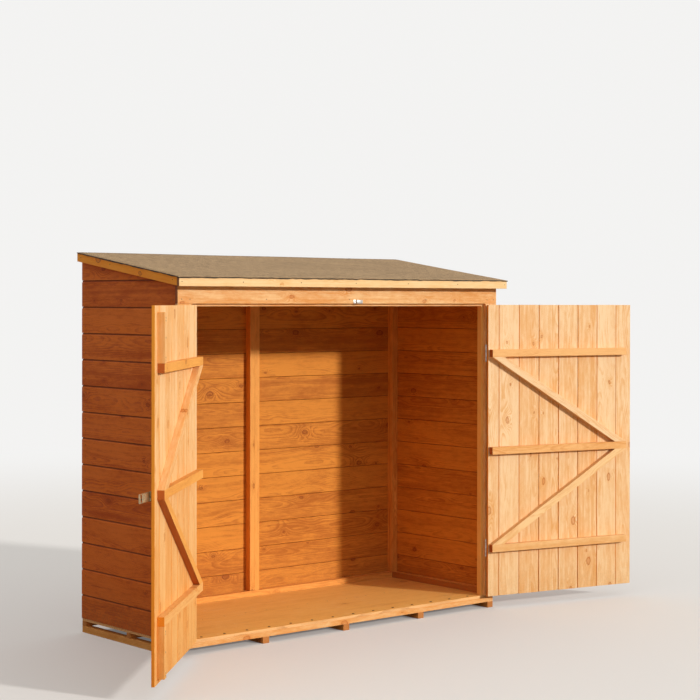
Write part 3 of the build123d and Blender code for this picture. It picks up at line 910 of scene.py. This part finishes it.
def islands(bm):
    """Separate timbers in one mesh, as sets of vertices."""
    left_over = set(bm.verts)
    while left_over:
        group, fresh = set(), {left_over.pop()}
        while fresh:
            group |= fresh
            fresh = {e.other_vert(v) for v in fresh for e in v.link_edges} - group
        left_over -= group
        yield group


def middle_of(vertices):
    return sum((v.co for v in vertices), Vector()) / len(vertices)


def ease_timber(node, finish, length_axis, face_axis, end_tone_sides=0.0):
    """Stand a copy of a CAD timber, with eased edges, in place of the node."""
    x_axis = Vector(length_axis).normalized()
    z_axis = x_axis.cross(face_axis).normalized()
    whole = plain_copy(node)
    pile = new_pile()
    for group in sorted(islands(whole), key=lambda g: [round(c, 5) for c in middle_of(g)]):
        one = bmesh.new()
        copies = {v: one.verts.new(v.co) for v in sorted(group, key=lambda v: v.index)}
        for f in sorted({f for v in group for f in v.link_faces}, key=lambda f: f.index):
            one.faces.new([copies[v] for v in f.verts])
        place = axes_at(x_axis, z_axis.cross(x_axis), z_axis, middle_of(one.verts))
        bmesh.ops.transform(one, matrix=place.inverted(), verts=one.verts)
        one.normal_update()
        ease_edges(one, EASE, TIMBER_EDGE)
        add_to_pile(pile, one, place, timber_dice.uniform(0, SEEDS), end_tone_sides=end_tone_sides)
    whole.free()
    pile_to_piece(f"{node}_timber", pile, finish, [node])


# %% Ease every post, rail and trim
FALL = Vector((0, ROOF_RUN, ROOF_RISE))
SAWN_SHEET = 0.9
eased = 0
for names, finish, length_axis, face_axis in (
    ("floor_bearers", batten_stain, DEEP, SIDE),
    ("floor_front_rail", header_stain, SIDE, UP),
    ("floor_middle_rail floor_back_rail", batten_stain, SIDE, UP),
    ("floor_sheet", sheet_stain, SIDE, DEEP),
    ("left_jamb_post right_jamb_post", jamb_bounce_lit_stain, UP, SIDE),
    ("left_front_post right_front_post left_corner_post right_corner_post", framing_stain, UP, SIDE),
    ("left_back_stud right_back_stud", framing_stain, UP, SIDE),
    ("wall_bottom_rails", framing_stain, SIDE, UP),
    ("left_top_rail right_top_rail", framing_stain, FALL, UP),
    ("back_top_rail", framing_stain, SIDE, UP),
    ("front_top_rail header_board", header_stain, SIDE, UP),
    ("left_front_strip right_front_strip", header_stain, UP, SIDE),
    ("front_fascia", fascia_stain, SIDE, UP),
    ("left_bargeboard right_bargeboard", barge_stain, FALL, UP),
    ("roof_sheet", bare_sheet, SIDE, DEEP),
):
    for node in names.split():
        ease_timber(node, finish, length_axis, face_axis, SAWN_SHEET if node == "floor_sheet" else 0.0)
        eased += 1
print(eased, "timbers of the shed eased")

# %% Ease the doors' ledges and braces
LEDGE_STAINS = {"right": right_ledge_stain, "left": left_ledge_stain}
# How far the narrow sides of ledges and braces take the colour of the ends
LEDGE_END_TONE_SIDES, BRACE_END_TONE_SIDES = 0.2, 0.9
# Finish, and how far the narrow sides take the colour of the ends, of the timbers that are paler than the rest
PALER = {
    "left_door_lower_ledge": (left_door_stain, 0.0),
    "left_door_upper_brace": (left_door_stain, 0.0),
    "right_door_lower_ledge": (pale_ledge_stain, 0.2),
    "right_door_lower_brace": (pale_ledge_stain, 0.25),
    "right_door_upper_brace": (right_door_stain, 0.25),
}
for side, axes in doors.items():
    ledge_line = axes.to_3x3() @ DEEP
    for place in ("top", "middle", "lower"):
        node = f"{side}_door_{place}_ledge"
        stain, sawn = PALER.get(node, (LEDGE_STAINS[side], LEDGE_END_TONE_SIDES))
        ease_timber(node, stain, ledge_line, UP, sawn)
    for place, climb in (("upper", -1), ("lower", 1)):
        node = f"{side}_door_{place}_brace"
        low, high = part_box(node)
        size = high - low
        brace_line = ledge_line * math.hypot(size.x, size.y) + UP * climb * size.z
        stain, sawn = PALER.get(node, (LEDGE_STAINS[side], BRACE_END_TONE_SIDES))
        ease_timber(node, stain, brace_line, UP, sawn)
    print(side, "door has its ledges and braces")

# %% [markdown]
# ## Two short battens on the left door
# The left door has two more timbers, which the frame leaves out: an upright batten from its top ledge to
# just below the rail that the doors close against, and one from its lower ledge nearly to the floor. They
# are likely to back the bolts that hold this door while the other one opens. They are made in the closed
# door's own axes and swing open with it.

# %% Stand the short battens against the ledges
LEDGE_STOP = 0.043
SHORT_OF_EDGE = {"top": 0.024, "lower": 0.018}
SEAT = 0.0003
BATTEN_THICK = 0.027
SAWN_BATTEN = 0.22
top_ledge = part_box("left_door_top_ledge")
lower_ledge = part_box("left_door_lower_ledge")
batten_wide = top_ledge[1].z - top_ledge[0].z
batten_side = DOOR_WIDTH - LEDGE_STOP - batten_wide
batten_spans = {
    "top": (top_ledge[1].z - door_bottom + SEAT, door_top - door_bottom - SHORT_OF_EDGE["top"]),
    "lower": (SHORT_OF_EDGE["lower"], lower_ledge[0].z - door_bottom - SEAT),
}
for place, (near, far) in batten_spans.items():
    pile = new_pile()
    square = [(0, 0), (batten_wide, 0), (batten_wide, BATTEN_THICK), (0, BATTEN_THICK)]
    bm = board_mesh(square, near, far)
    ease_edges(bm, EASE)
    middle = ((near + far) / 2, batten_wide / 2, BATTEN_THICK / 2)
    stand = doors["left"] @ Matrix.Translation((0, batten_side, BOARD))
    add_to_pile(pile, bm, stand, timber_dice.uniform(0, SEEDS), middle, end_tone_sides=SAWN_BATTEN)
    pile_to_piece(f"left_door_{place}_short_batten", pile, left_door_stain, body="left_door")
    print(place, "short batten", round(far - near, 3), "m long")

# %% [markdown]
# ## Mineral felt
# Roofing felt is a bitumen sheet with crushed slate pressed into its upper face. Close up it is a field of
# small chips in several tones, and from a few metres they blend into a mottled grey brown. Its cut edges
# are black bitumen. The sheet lies a little unevenly and laps a few millimetres over the trim.

# %% Group: slate chips
BITUMEN = (0.035, 0.029, 0.024, 1.0)
ROLLED = (2.2, 9.0, 1.0)
chips, given = new_group("Slate chips", {
    "Place": None,
    "Chip size": 0.0016,
    "Pale chip": (0.525, 0.36, 0.198, 1),
    "Mid chip": (0.335, 0.215, 0.107, 1),
    "Dark chip": (0.118, 0.078, 0.041, 1),
})
spot = given["Place"]
field_inputs = {"Vector": spot, "Scale": 1.0 / given["Chip size"], "Randomness": 1.0}
chip_colour, chip_reach = take(chips, "ShaderNodeTexVoronoi", field_inputs, "Color", "Distance")
chip_tone, chip_gloss, chip_tilt = split(chip_colour)
drift = noise(spot, scale=38.0, detail=5.0, roughness=0.65) - 0.5
rolled = noise(spot * ROLLED, detail=3.0) - 0.5
tone = drift * 1.1 + chip_tone + rolled * 0.3
chip = mix_colours(ease_between(tone, 0.45, 0.95), given["Mid chip"], given["Pale chip"])
chip = mix_colours(ease_between(tone, 0.05, 0.30, 1.0, 0.0), chip, given["Dark chip"])
put_out(chips, {
    "Color": chip,
    "Roughness": chip_gloss * 0.2 + 0.75,
    "Height": chip_tilt * 0.5 - chip_reach * 0.5,
})

felt_finish = new_material("mineral_felt")
tree = felt_finish.node_tree
slate = use_group(tree, chips, {"Place": place_in(tree)})
cut_edge = take(tree, "ShaderNodeAttribute", None, "Fac", attribute_name="cut_edge")
felt_colour = mix_colours(cut_edge, slate["Color"], BITUMEN)
felt_inputs = {"Base Color": felt_colour, "Roughness": slate["Roughness"], "Specular IOR Level": 0.25}
shade(felt_finish, felt_inputs, slate["Height"], strength=0.6, depth=0.0008)

# %% Shape of the felt
FELT_SHEET = 0.0017
TURNED_DOWN = 0.0038
LAP_OVER = 0.003
FELT_STEP = 0.022
WAVE_HIGH = 0.00018
BEDDED = 0.0006
SIDE_RAG, FRONT_RAG = 0.0012, 0.0015
SIDE_DROP, FRONT_DROP, DROP_RAG = 0.0012, 0.0016, 0.0008
# Strides through the ragged edge's list, so that drop and thickness don't follow its outline
DROP_STRIDE, DEPTH_STRIDES = 7, (5, 11)
WAVES, WAVE_RATE, WAVE_TURN = 5, (2, 9), 6.3
felt_dice = random.Random(5)
felt_low, felt_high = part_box("roof_felt")
felt_run = felt_high.y - felt_low.y
steps_x = round((felt_high.x - felt_low.x) / FELT_STEP)
steps_y = round(felt_run / FELT_STEP)
ragged_front = [felt_dice.uniform(-1, 1) for _ in range(steps_x + 1)]
ragged_sides = [[felt_dice.uniform(-1, 1) for _ in range(steps_y + 1)] for _ in range(2)]
waves = [(felt_dice.uniform(*WAVE_RATE), felt_dice.uniform(*WAVE_RATE), felt_dice.uniform(0, WAVE_TURN))
         for _ in range(WAVES)]


def felt_point(i, j):
    """A point of the felt's upper face: i runs along the eaves and j up the slope."""
    x = felt_low.x + (felt_high.x - felt_low.x) * i / steps_x
    y = felt_low.y + felt_run * j / steps_y
    z = felt_high.z - ROOF_RISE + ROOF_RISE * j / steps_y
    lift = sum(math.sin(a * x + b * y + c) for a, b, c in waves) * WAVE_HIGH - BEDDED
    if i in (0, steps_x):
        x += (1 if i else -1) * (LAP_OVER + SIDE_RAG * ragged_sides[bool(i)][j])
        lift -= SIDE_DROP
    if j == 0:
        y -= LAP_OVER + FRONT_RAG * ragged_front[i]
        lift -= FRONT_DROP + DROP_RAG * ragged_front[(i * DROP_STRIDE) % (steps_x + 1)]
    return Vector((x, y, z + lift))


def felt_depth(i, j):
    """The sheet's thickness, and at its edges how far it is turned down."""
    if i in (0, steps_x) or j == 0:
        chosen = (i * DEPTH_STRIDES[0] + j * DEPTH_STRIDES[1]) % (steps_x + 1)
        return TURNED_DOWN + SIDE_RAG * ragged_front[chosen]
    return FELT_SHEET


print("felt grid", steps_x, "by", steps_y)

# %% Lay the felt
bm = bmesh.new()
grid = [[[bm.verts.new(felt_point(i, j) - UP * (lower * felt_depth(i, j))) for j in range(steps_y + 1)]
         for i in range(steps_x + 1)] for lower in (0, 1)]
top, low = grid
for i in range(steps_x):
    for j in range(steps_y):
        bm.faces.new((top[i][j], top[i + 1][j], top[i + 1][j + 1], top[i][j + 1]))
        bm.faces.new((low[i][j + 1], low[i + 1][j + 1], low[i + 1][j], low[i][j]))
border = [(i, 0) for i in range(steps_x)] + [(steps_x, j) for j in range(steps_y)]
border += [(i, steps_y) for i in range(steps_x, 0, -1)] + [(0, j) for j in range(steps_y, 0, -1)]
sheet_faces = len(bm.faces)
for (i, j), (k, m) in zip(border, border[1:] + border[:1]):
    bm.faces.new((top[k][m], top[i][j], low[i][j], low[k][m]))
felt_mesh = bpy.data.meshes.new("felt_sheet")
bm.to_mesh(felt_mesh)
bm.free()
is_cut = [n >= sheet_faces for n in range(len(felt_mesh.polygons))]
store_attribute(felt_mesh, "cut_edge", "FLOAT", "FACE", [float(cut) for cut in is_cut])
felt_mesh.polygons.foreach_set("use_smooth", [not cut for cut in is_cut])
finish_piece("felt_sheet", felt_mesh, felt_finish, ["roof_felt"])
print("felt has", len(felt_mesh.polygons), "faces")

# %% [markdown]
# ## Zinc plated steel
# Hinges, hasp and screws are pressed from mild steel and plated with zinc. The plating is bright but never
# even: faint crystals, rolling lines and dull patches break up its gloss. Metal takes its look from
# roughness, so that is where most of the variation goes. The nails were never plated, so the same group
# serves them in rusty tones.

# %% Group: zinc plating
plating, given = new_group("Zinc plating", {
    "Place": None, "Bright": (0.74, 0.735, 0.71, 1), "Dull": (0.50, 0.48, 0.44, 1),
})
spot = given["Place"]
crystal = split(take(plating, "ShaderNodeTexVoronoi", {"Vector": spot, "Scale": 420.0}, "Color"))[0]
smear = noise(spot, scale=60.0, detail=4.0, roughness=0.6)
dulled = crystal * 0.3 + ease_between(smear, 0.35, 0.7, 0.0, 0.7)
put_out(plating, {
    "Color": mix_colours(dulled, given["Bright"], given["Dull"]),
    "Roughness": dulled * 0.25 + 0.27,
    "Height": smear,
})


def plated_material(name, bright, dull):
    made = new_material(name)
    tree = made.node_tree
    colours = {"Bright": (*bright, 1.0), "Dull": (*dull, 1.0)}
    zinc = use_group(tree, plating, {"Place": place_in(tree), **colours})
    inputs = {"Base Color": zinc["Color"], "Roughness": zinc["Roughness"], "Metallic": 1.0}
    return shade(made, inputs, zinc["Height"], strength=0.25, depth=0.0003)


bright_zinc = plated_material("bright_zinc", (0.64, 0.62, 0.585), (0.40, 0.37, 0.33))
yellow_zinc = plated_material("yellow_zinc", (0.60, 0.47, 0.29), (0.34, 0.24, 0.13))
rusty_steel = plated_material("rusty_steel", (0.19, 0.085, 0.045), (0.09, 0.038, 0.021))

# %% Ease and plate the fittings
STEEL_EASE = 0.0004
STEEL_EDGE = 40
SHARP_SHADING = math.radians(28)
FITTINGS = {
    bright_zinc: ("frame_hinge_leaves", "header_keep", "left_door_hinge_leaves", "right_door_hinge_leaves"),
    yellow_zinc: ("hasp_base", "hasp_strap", "hasp_staple"),
}
for plate, nodes in FITTINGS.items():
    for node in nodes:
        bm = plain_copy(node)
        ease_edges(bm, STEEL_EASE, STEEL_EDGE)
        steel_mesh = bpy.data.meshes.new(f"{node}_steel")
        bm.to_mesh(steel_mesh)
        bm.free()
        steel_mesh.polygons.foreach_set("use_smooth", [True] * len(steel_mesh.polygons))
        steel_mesh.set_sharp_from_angle(angle=SHARP_SHADING)
        finish_piece(steel_mesh.name, steel_mesh, plate, [node])
    print(plate.name, "on", nodes)

# %% [markdown]
# ## Nails and screws
# Small fixings tell the eye how large everything is. One head of each kind is modelled and then copied to
# every place, all heads of one kind on one body forming one mesh. A nail head is a low disc with a bevelled
# rim. A screw head is a shallow dome with a real cross-shaped recess.

# %% Model the heads
ROOTED = 0.0006


def turned(rings, sides):
    """A turned head, open at the top: its mesh, and its rings of points from (radius, height) pairs."""
    bm = bmesh.new()
    loops = []
    for radius, height in rings:
        turns = [math.tau * n / sides for n in range(sides)]
        loops.append([bm.verts.new((radius * math.cos(t), radius * math.sin(t), height)) for t in turns])
    for low, top in zip(loops, loops[1:]):
        for n in range(sides):
            m = (n + 1) % sides
            bm.faces.new((low[n], low[m], top[m], top[n]))
    bm.faces.new(loops[0][::-1])
    return bm, loops


def as_lists(bm):
    """The mesh as lists of points and faces, which can be copied many times."""
    bmesh.ops.recalc_face_normals(bm, faces=bm.faces)
    bm.verts.index_update()
    points = [v.co.copy() for v in bm.verts]
    faces = [tuple(v.index for v in f.verts) for f in bm.faces]
    bm.free()
    return points, faces


def nail_head(radius=0.0022, height=NAIL_PROUD, sides=10):
    bm, loops = turned(((radius, -ROOTED), (radius, height * 0.5), (radius * 0.7, height)), sides)
    bm.faces.new(loops[-1])
    return as_lists(bm)


def screw_head(radius=0.0036, height=0.0009, sides=24, arm=0.0021, half=0.00055, recess=0.0011):
    """A dome with a cross sunk into it; the top is filled between the rim and the cross."""
    bm, loops = turned(((radius, -ROOTED), (radius, height * 0.35), (radius * 0.82, height)), sides)
    corners = []
    for quarter in range(4):
        turn = Matrix.Rotation(math.pi / 2 * quarter, 3, "Z")
        corners += [turn @ Vector((x, y, height)) for x, y in ((arm, -half), (arm, half), (half, half))]
    rim = [bm.verts.new(c) for c in corners]
    floor_of_cross = [bm.verts.new(c - UP * recess) for c in corners]
    count = len(rim)
    edges = [bm.edges.new((rim[n], rim[(n + 1) % count])) for n in range(count)]
    edges += [bm.edges.get((loops[-1][n], loops[-1][(n + 1) % sides])) for n in range(sides)]
    for n in range(count):
        m = (n + 1) % count
        bm.faces.new((rim[m], rim[n], floor_of_cross[n], floor_of_cross[m]))
    bm.faces.new(floor_of_cross)
    bmesh.ops.triangle_fill(bm, use_beauty=True, edges=edges)
    return as_lists(bm)


NAIL = nail_head()
FLOOR_NAIL = nail_head(radius=0.0055, height=0.002, sides=12)
BATTEN_NAIL = nail_head(radius=0.003)
CLOUT = nail_head(radius=0.0045, height=0.0009, sides=12)
SCREW = screw_head()
fixing_dice = random.Random(404)


def facing(point, outward):
    """Matrix that sets a head at a point, its top towards outward, turned at random."""
    turn = Vector(outward).to_track_quat("Z", "Y").to_matrix().to_4x4()
    return Matrix.Translation(point) @ turn @ Matrix.Rotation(fixing_dice.uniform(0, math.tau), 4, "Z")


def set_heads(name, kind, places, finish, body):
    """Copy one head to every place and join them."""
    points, faces = [], []
    for place in places:
        first = len(points)
        points += [place @ p for p in kind[0]]
        faces += [tuple(first + n for n in f) for f in kind[1]]
    mesh = bpy.data.meshes.new(name)
    mesh.from_pydata(points, [], faces)
    finish_piece(name, mesh, finish, body=body, slot="zinc_steel")
    print(name, len(places), "heads,", len(faces), "faces")


print("nail", len(NAIL[1]), "faces, screw", len(SCREW[1]), "faces")

# %% [markdown]
# ## Where the nails go
# A joiner nails each wall board to every post, once near its lower edge and once near its upper edge. Door
# boards are nailed twice to each ledge from outside. The floor sheet is nailed along its rails; the heads
# of the front row, which stand a little proud, are the row of dark dots on the floor in the photograph.

# %% Nail the walls
NAIL_UP = 0.030
NAIL_CLEAR = 0.012
POST_IN = 0.017
JOINT_NAIL = 0.0135
NAIL_WOBBLE = 0.002
SIDE_TOP_BARE, BACK_TOP_BARE = 0.08, 0.02
shed_nails = []


def nail(x, y, z, outward):
    shed_nails.append(facing((x, y, z), outward))


def wobble():
    return fixing_dice.uniform(-NAIL_WOBBLE, NAIL_WOBBLE)


def nail_heights(low, high):
    """Height of each row of nails in the courses between two heights, a row for each edge of a board."""
    for bottom, top in courses(low, high):
        yield [bottom + up for up in (NAIL_UP, COVER - NAIL_UP) if bottom + up < top - NAIL_CLEAR]


for heights in nail_heights(left_low.z, left_high.z - SIDE_TOP_BARE):
    for y in (left_low.y + BOARD, left_high.y - BOARD - POST_IN):
        for x, outward in ((left_low.x, -SIDE), (right_high.x, SIDE)):
            for z in heights:
                nail(x, y + wobble(), z, outward)
for heights in nail_heights(back_low.z, back_high.z - BACK_TOP_BARE):
    for x in (-half_back + POST_IN, -JOINT_NAIL, JOINT_NAIL, half_back - POST_IN):
        for z in heights:
            nail(x + wobble(), back_high.y - NAIL_PROUD, z, DEEP)
print(len(shed_nails), "nails in the walls")

# %% Nail the trim, the floor and the felt
HEADER_NAILS = (-0.875, -0.835, -0.45, 0.0, 0.45, 0.835, 0.875)
STRIP_NAILS = (-0.878, 0.878)
STRIP_SPAN = (0.12, 1.345)
TRIM_UP, HEADER_DOWN = 0.018, 0.030
FASCIA_IN, BARGE_IN, BARGE_UP = 0.014, 0.030, 0.020
FLOOR_FIRST, FLOOR_PITCH = 0.060, 0.1154
FLOOR_FRONT, FLOOR_BACK = 0.026, 0.017
FLOOR_NAILS = range(-8, 8)
CLOUT_IN, CLOUT_DOWN = 0.02, 0.012
STRIP_COUNT, FASCIA_COUNT, BARGE_COUNT, CLOUT_COUNT = 6, 7, 4, 19


def spread(low, high, count):
    """Evenly spaced places from low to high."""
    return [low + (high - low) * n / (count - 1) for n in range(count)]


header_low, header_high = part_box("header_board")
fascia_low, fascia_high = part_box("front_fascia")
barge_low, barge_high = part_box("left_bargeboard")
sheet_low, sheet_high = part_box("floor_sheet")
slope = ROOF_RISE / felt_run
for x in HEADER_NAILS:
    for z in (header_low.z + TRIM_UP, header_high.z - HEADER_DOWN):
        nail(x, header_low.y, z, -DEEP)
for x in STRIP_NAILS:
    for z in spread(*STRIP_SPAN, STRIP_COUNT):
        nail(x, header_low.y, z, -DEEP)
for x in spread(fascia_low.x + FASCIA_IN, fascia_high.x - FASCIA_IN, FASCIA_COUNT):
    nail(x, fascia_low.y, fascia_low.z + TRIM_UP, -DEEP)
for y in spread(barge_low.y + BARGE_IN, barge_high.y - BARGE_IN, BARGE_COUNT):
    for sign in (-1, 1):
        nail(-sign * barge_low.x, y, barge_low.z + BARGE_UP + slope * (y - barge_low.y), sign * SIDE)
floor_nails = []
for n in FLOOR_NAILS:
    x = FLOOR_FIRST + n * FLOOR_PITCH
    floor_nails.append(facing((x, sheet_low.y + FLOOR_FRONT, sheet_high.z), UP))
    for y in (0.0, sheet_high.y - FLOOR_BACK):
        nail(x, y, sheet_high.z, UP)
set_heads("shed_nails", NAIL, shed_nails, rusty_steel, "shed")
set_heads("front_floor_nails", FLOOR_NAIL, floor_nails, rusty_steel, "shed")

clout_z = felt_high.z - slope * CLOUT_DOWN - BEDDED
clouts = [facing((x, felt_high.y - CLOUT_DOWN, clout_z), ROOF_SLOPE)
          for x in spread(felt_low.x + CLOUT_IN, felt_high.x - CLOUT_IN, CLOUT_COUNT)]
set_heads("felt_clouts", CLOUT, clouts, rusty_steel, "shed")

# %% Nail the doors
NAIL_STAGGER = 0.008
NAILS_ACROSS = ((0.25, -NAIL_STAGGER), (0.75, NAIL_STAGGER))
FROM_BATTEN_FOOT, FROM_BATTEN_TOP = (0.010, 0.020), (0.030, 0.020)
BATTEN_NAILS_ACROSS = 0.4
ledge_boxes = [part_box(f"right_door_{place}_ledge") for place in ("lower", "middle", "top")]
ledges = [(low.z + high.z) / 2 - door_bottom for low, high in ledge_boxes]
print("ledges at", [round(height, 4) for height in ledges])
outwards = {side: axes.to_3x3() @ -UP for side, axes in doors.items()}
for side, axes in doors.items():
    joints = door_joints()
    places = []
    for near, far in zip(joints, joints[1:]):
        for height in ledges:
            for share, stagger in NAILS_ACROSS:
                # At the top and lower ledges a hinge leaf covers the first board
                if near > 0.0 or height == ledges[1]:
                    spot = axes @ Vector((height + stagger, near + (far - near) * share, 0.0))
                    places.append(facing(spot, outwards[side]))
    set_heads(f"{side}_door_nails", NAIL, places, rusty_steel, f"{side}_door")

places = []
for near, far in batten_spans.values():
    heights = [near + up for up in FROM_BATTEN_FOOT] + [(near + far) / 2]
    heights += [far - down for down in FROM_BATTEN_TOP]
    for up in heights:
        spot = Vector((up, batten_side + BATTEN_NAILS_ACROSS * batten_wide, BOARD + BATTEN_THICK))
        places.append(facing(doors["left"] @ spot, -outwards["left"]))
set_heads("short_batten_nails", BATTEN_NAIL, places, rusty_steel, "left_door")

# %% Screw the fittings
LEAF_FACE = -0.360
LEAF_PROUD = 0.002
LEAF_HALF_HIGH = 0.039
SCREW_STEP = 0.68 * LEAF_HALF_HIGH
DOOR_LEAF_IN, FRAME_LEAF_OUT, MIDDLE_SHIFT = 0.0125, 0.019, 0.003
HASP_SCREW_IN, HASP_SCREW_UP = 0.029, 0.0105
KEEP_IN, KEEP_PROUD = 0.007, 0.0015
leaf_screws = {"shed": [], "right_door": [], "left_door": []}
for side, axes in doors.items():
    sign = 1 if side == "right" else -1
    for height in (ledges[0], ledges[2]):
        for n in (-1, 0, 1):
            up = height + n * SCREW_STEP
            shift = 0.0 if n else MIDDLE_SHIFT
            spot = axes @ Vector((up, DOOR_LEAF_IN + shift, -LEAF_PROUD))
            leaf_screws[f"{side}_door"].append(facing(spot, outwards[side]))
            frame_x = sign * (HINGE_EDGE + FRAME_LEAF_OUT + shift)
            leaf_screws["shed"].append(facing((frame_x, LEAF_FACE, door_bottom + up), -DEEP))
for up in (-HASP_SCREW_UP, HASP_SCREW_UP):
    spot = doors["left"] @ Vector((ledges[1] + up, DOOR_WIDTH - HASP_SCREW_IN, -LEAF_PROUD))
    leaf_screws["left_door"].append(facing(spot, outwards["left"]))
keep_low, keep_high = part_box("header_keep")
for x in (keep_low.x + KEEP_IN, keep_high.x - KEEP_IN):
    spot = (x, header_low.y - KEEP_PROUD, (keep_low.z + keep_high.z) / 2)
    leaf_screws["shed"].append(facing(spot, -DEEP))
for body, places in leaf_screws.items():
    set_heads(f"{body}_screws", SCREW, places, bright_zinc, body)

# %% [markdown]
# ## Keep the size true
# Dressing a model must not change its size. The box of the CAD frame was read at the start; the box of the
# finished pieces is read now, and both are written down so that they can be compared.

# %% Write the sizes and finish
low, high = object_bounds()
print("dressed box", [round(v, 3) for v in low], [round(v, 3) for v in high])
{"cad": [list(cad_low), list(cad_high)], "visual": [list(low), list(high)]}
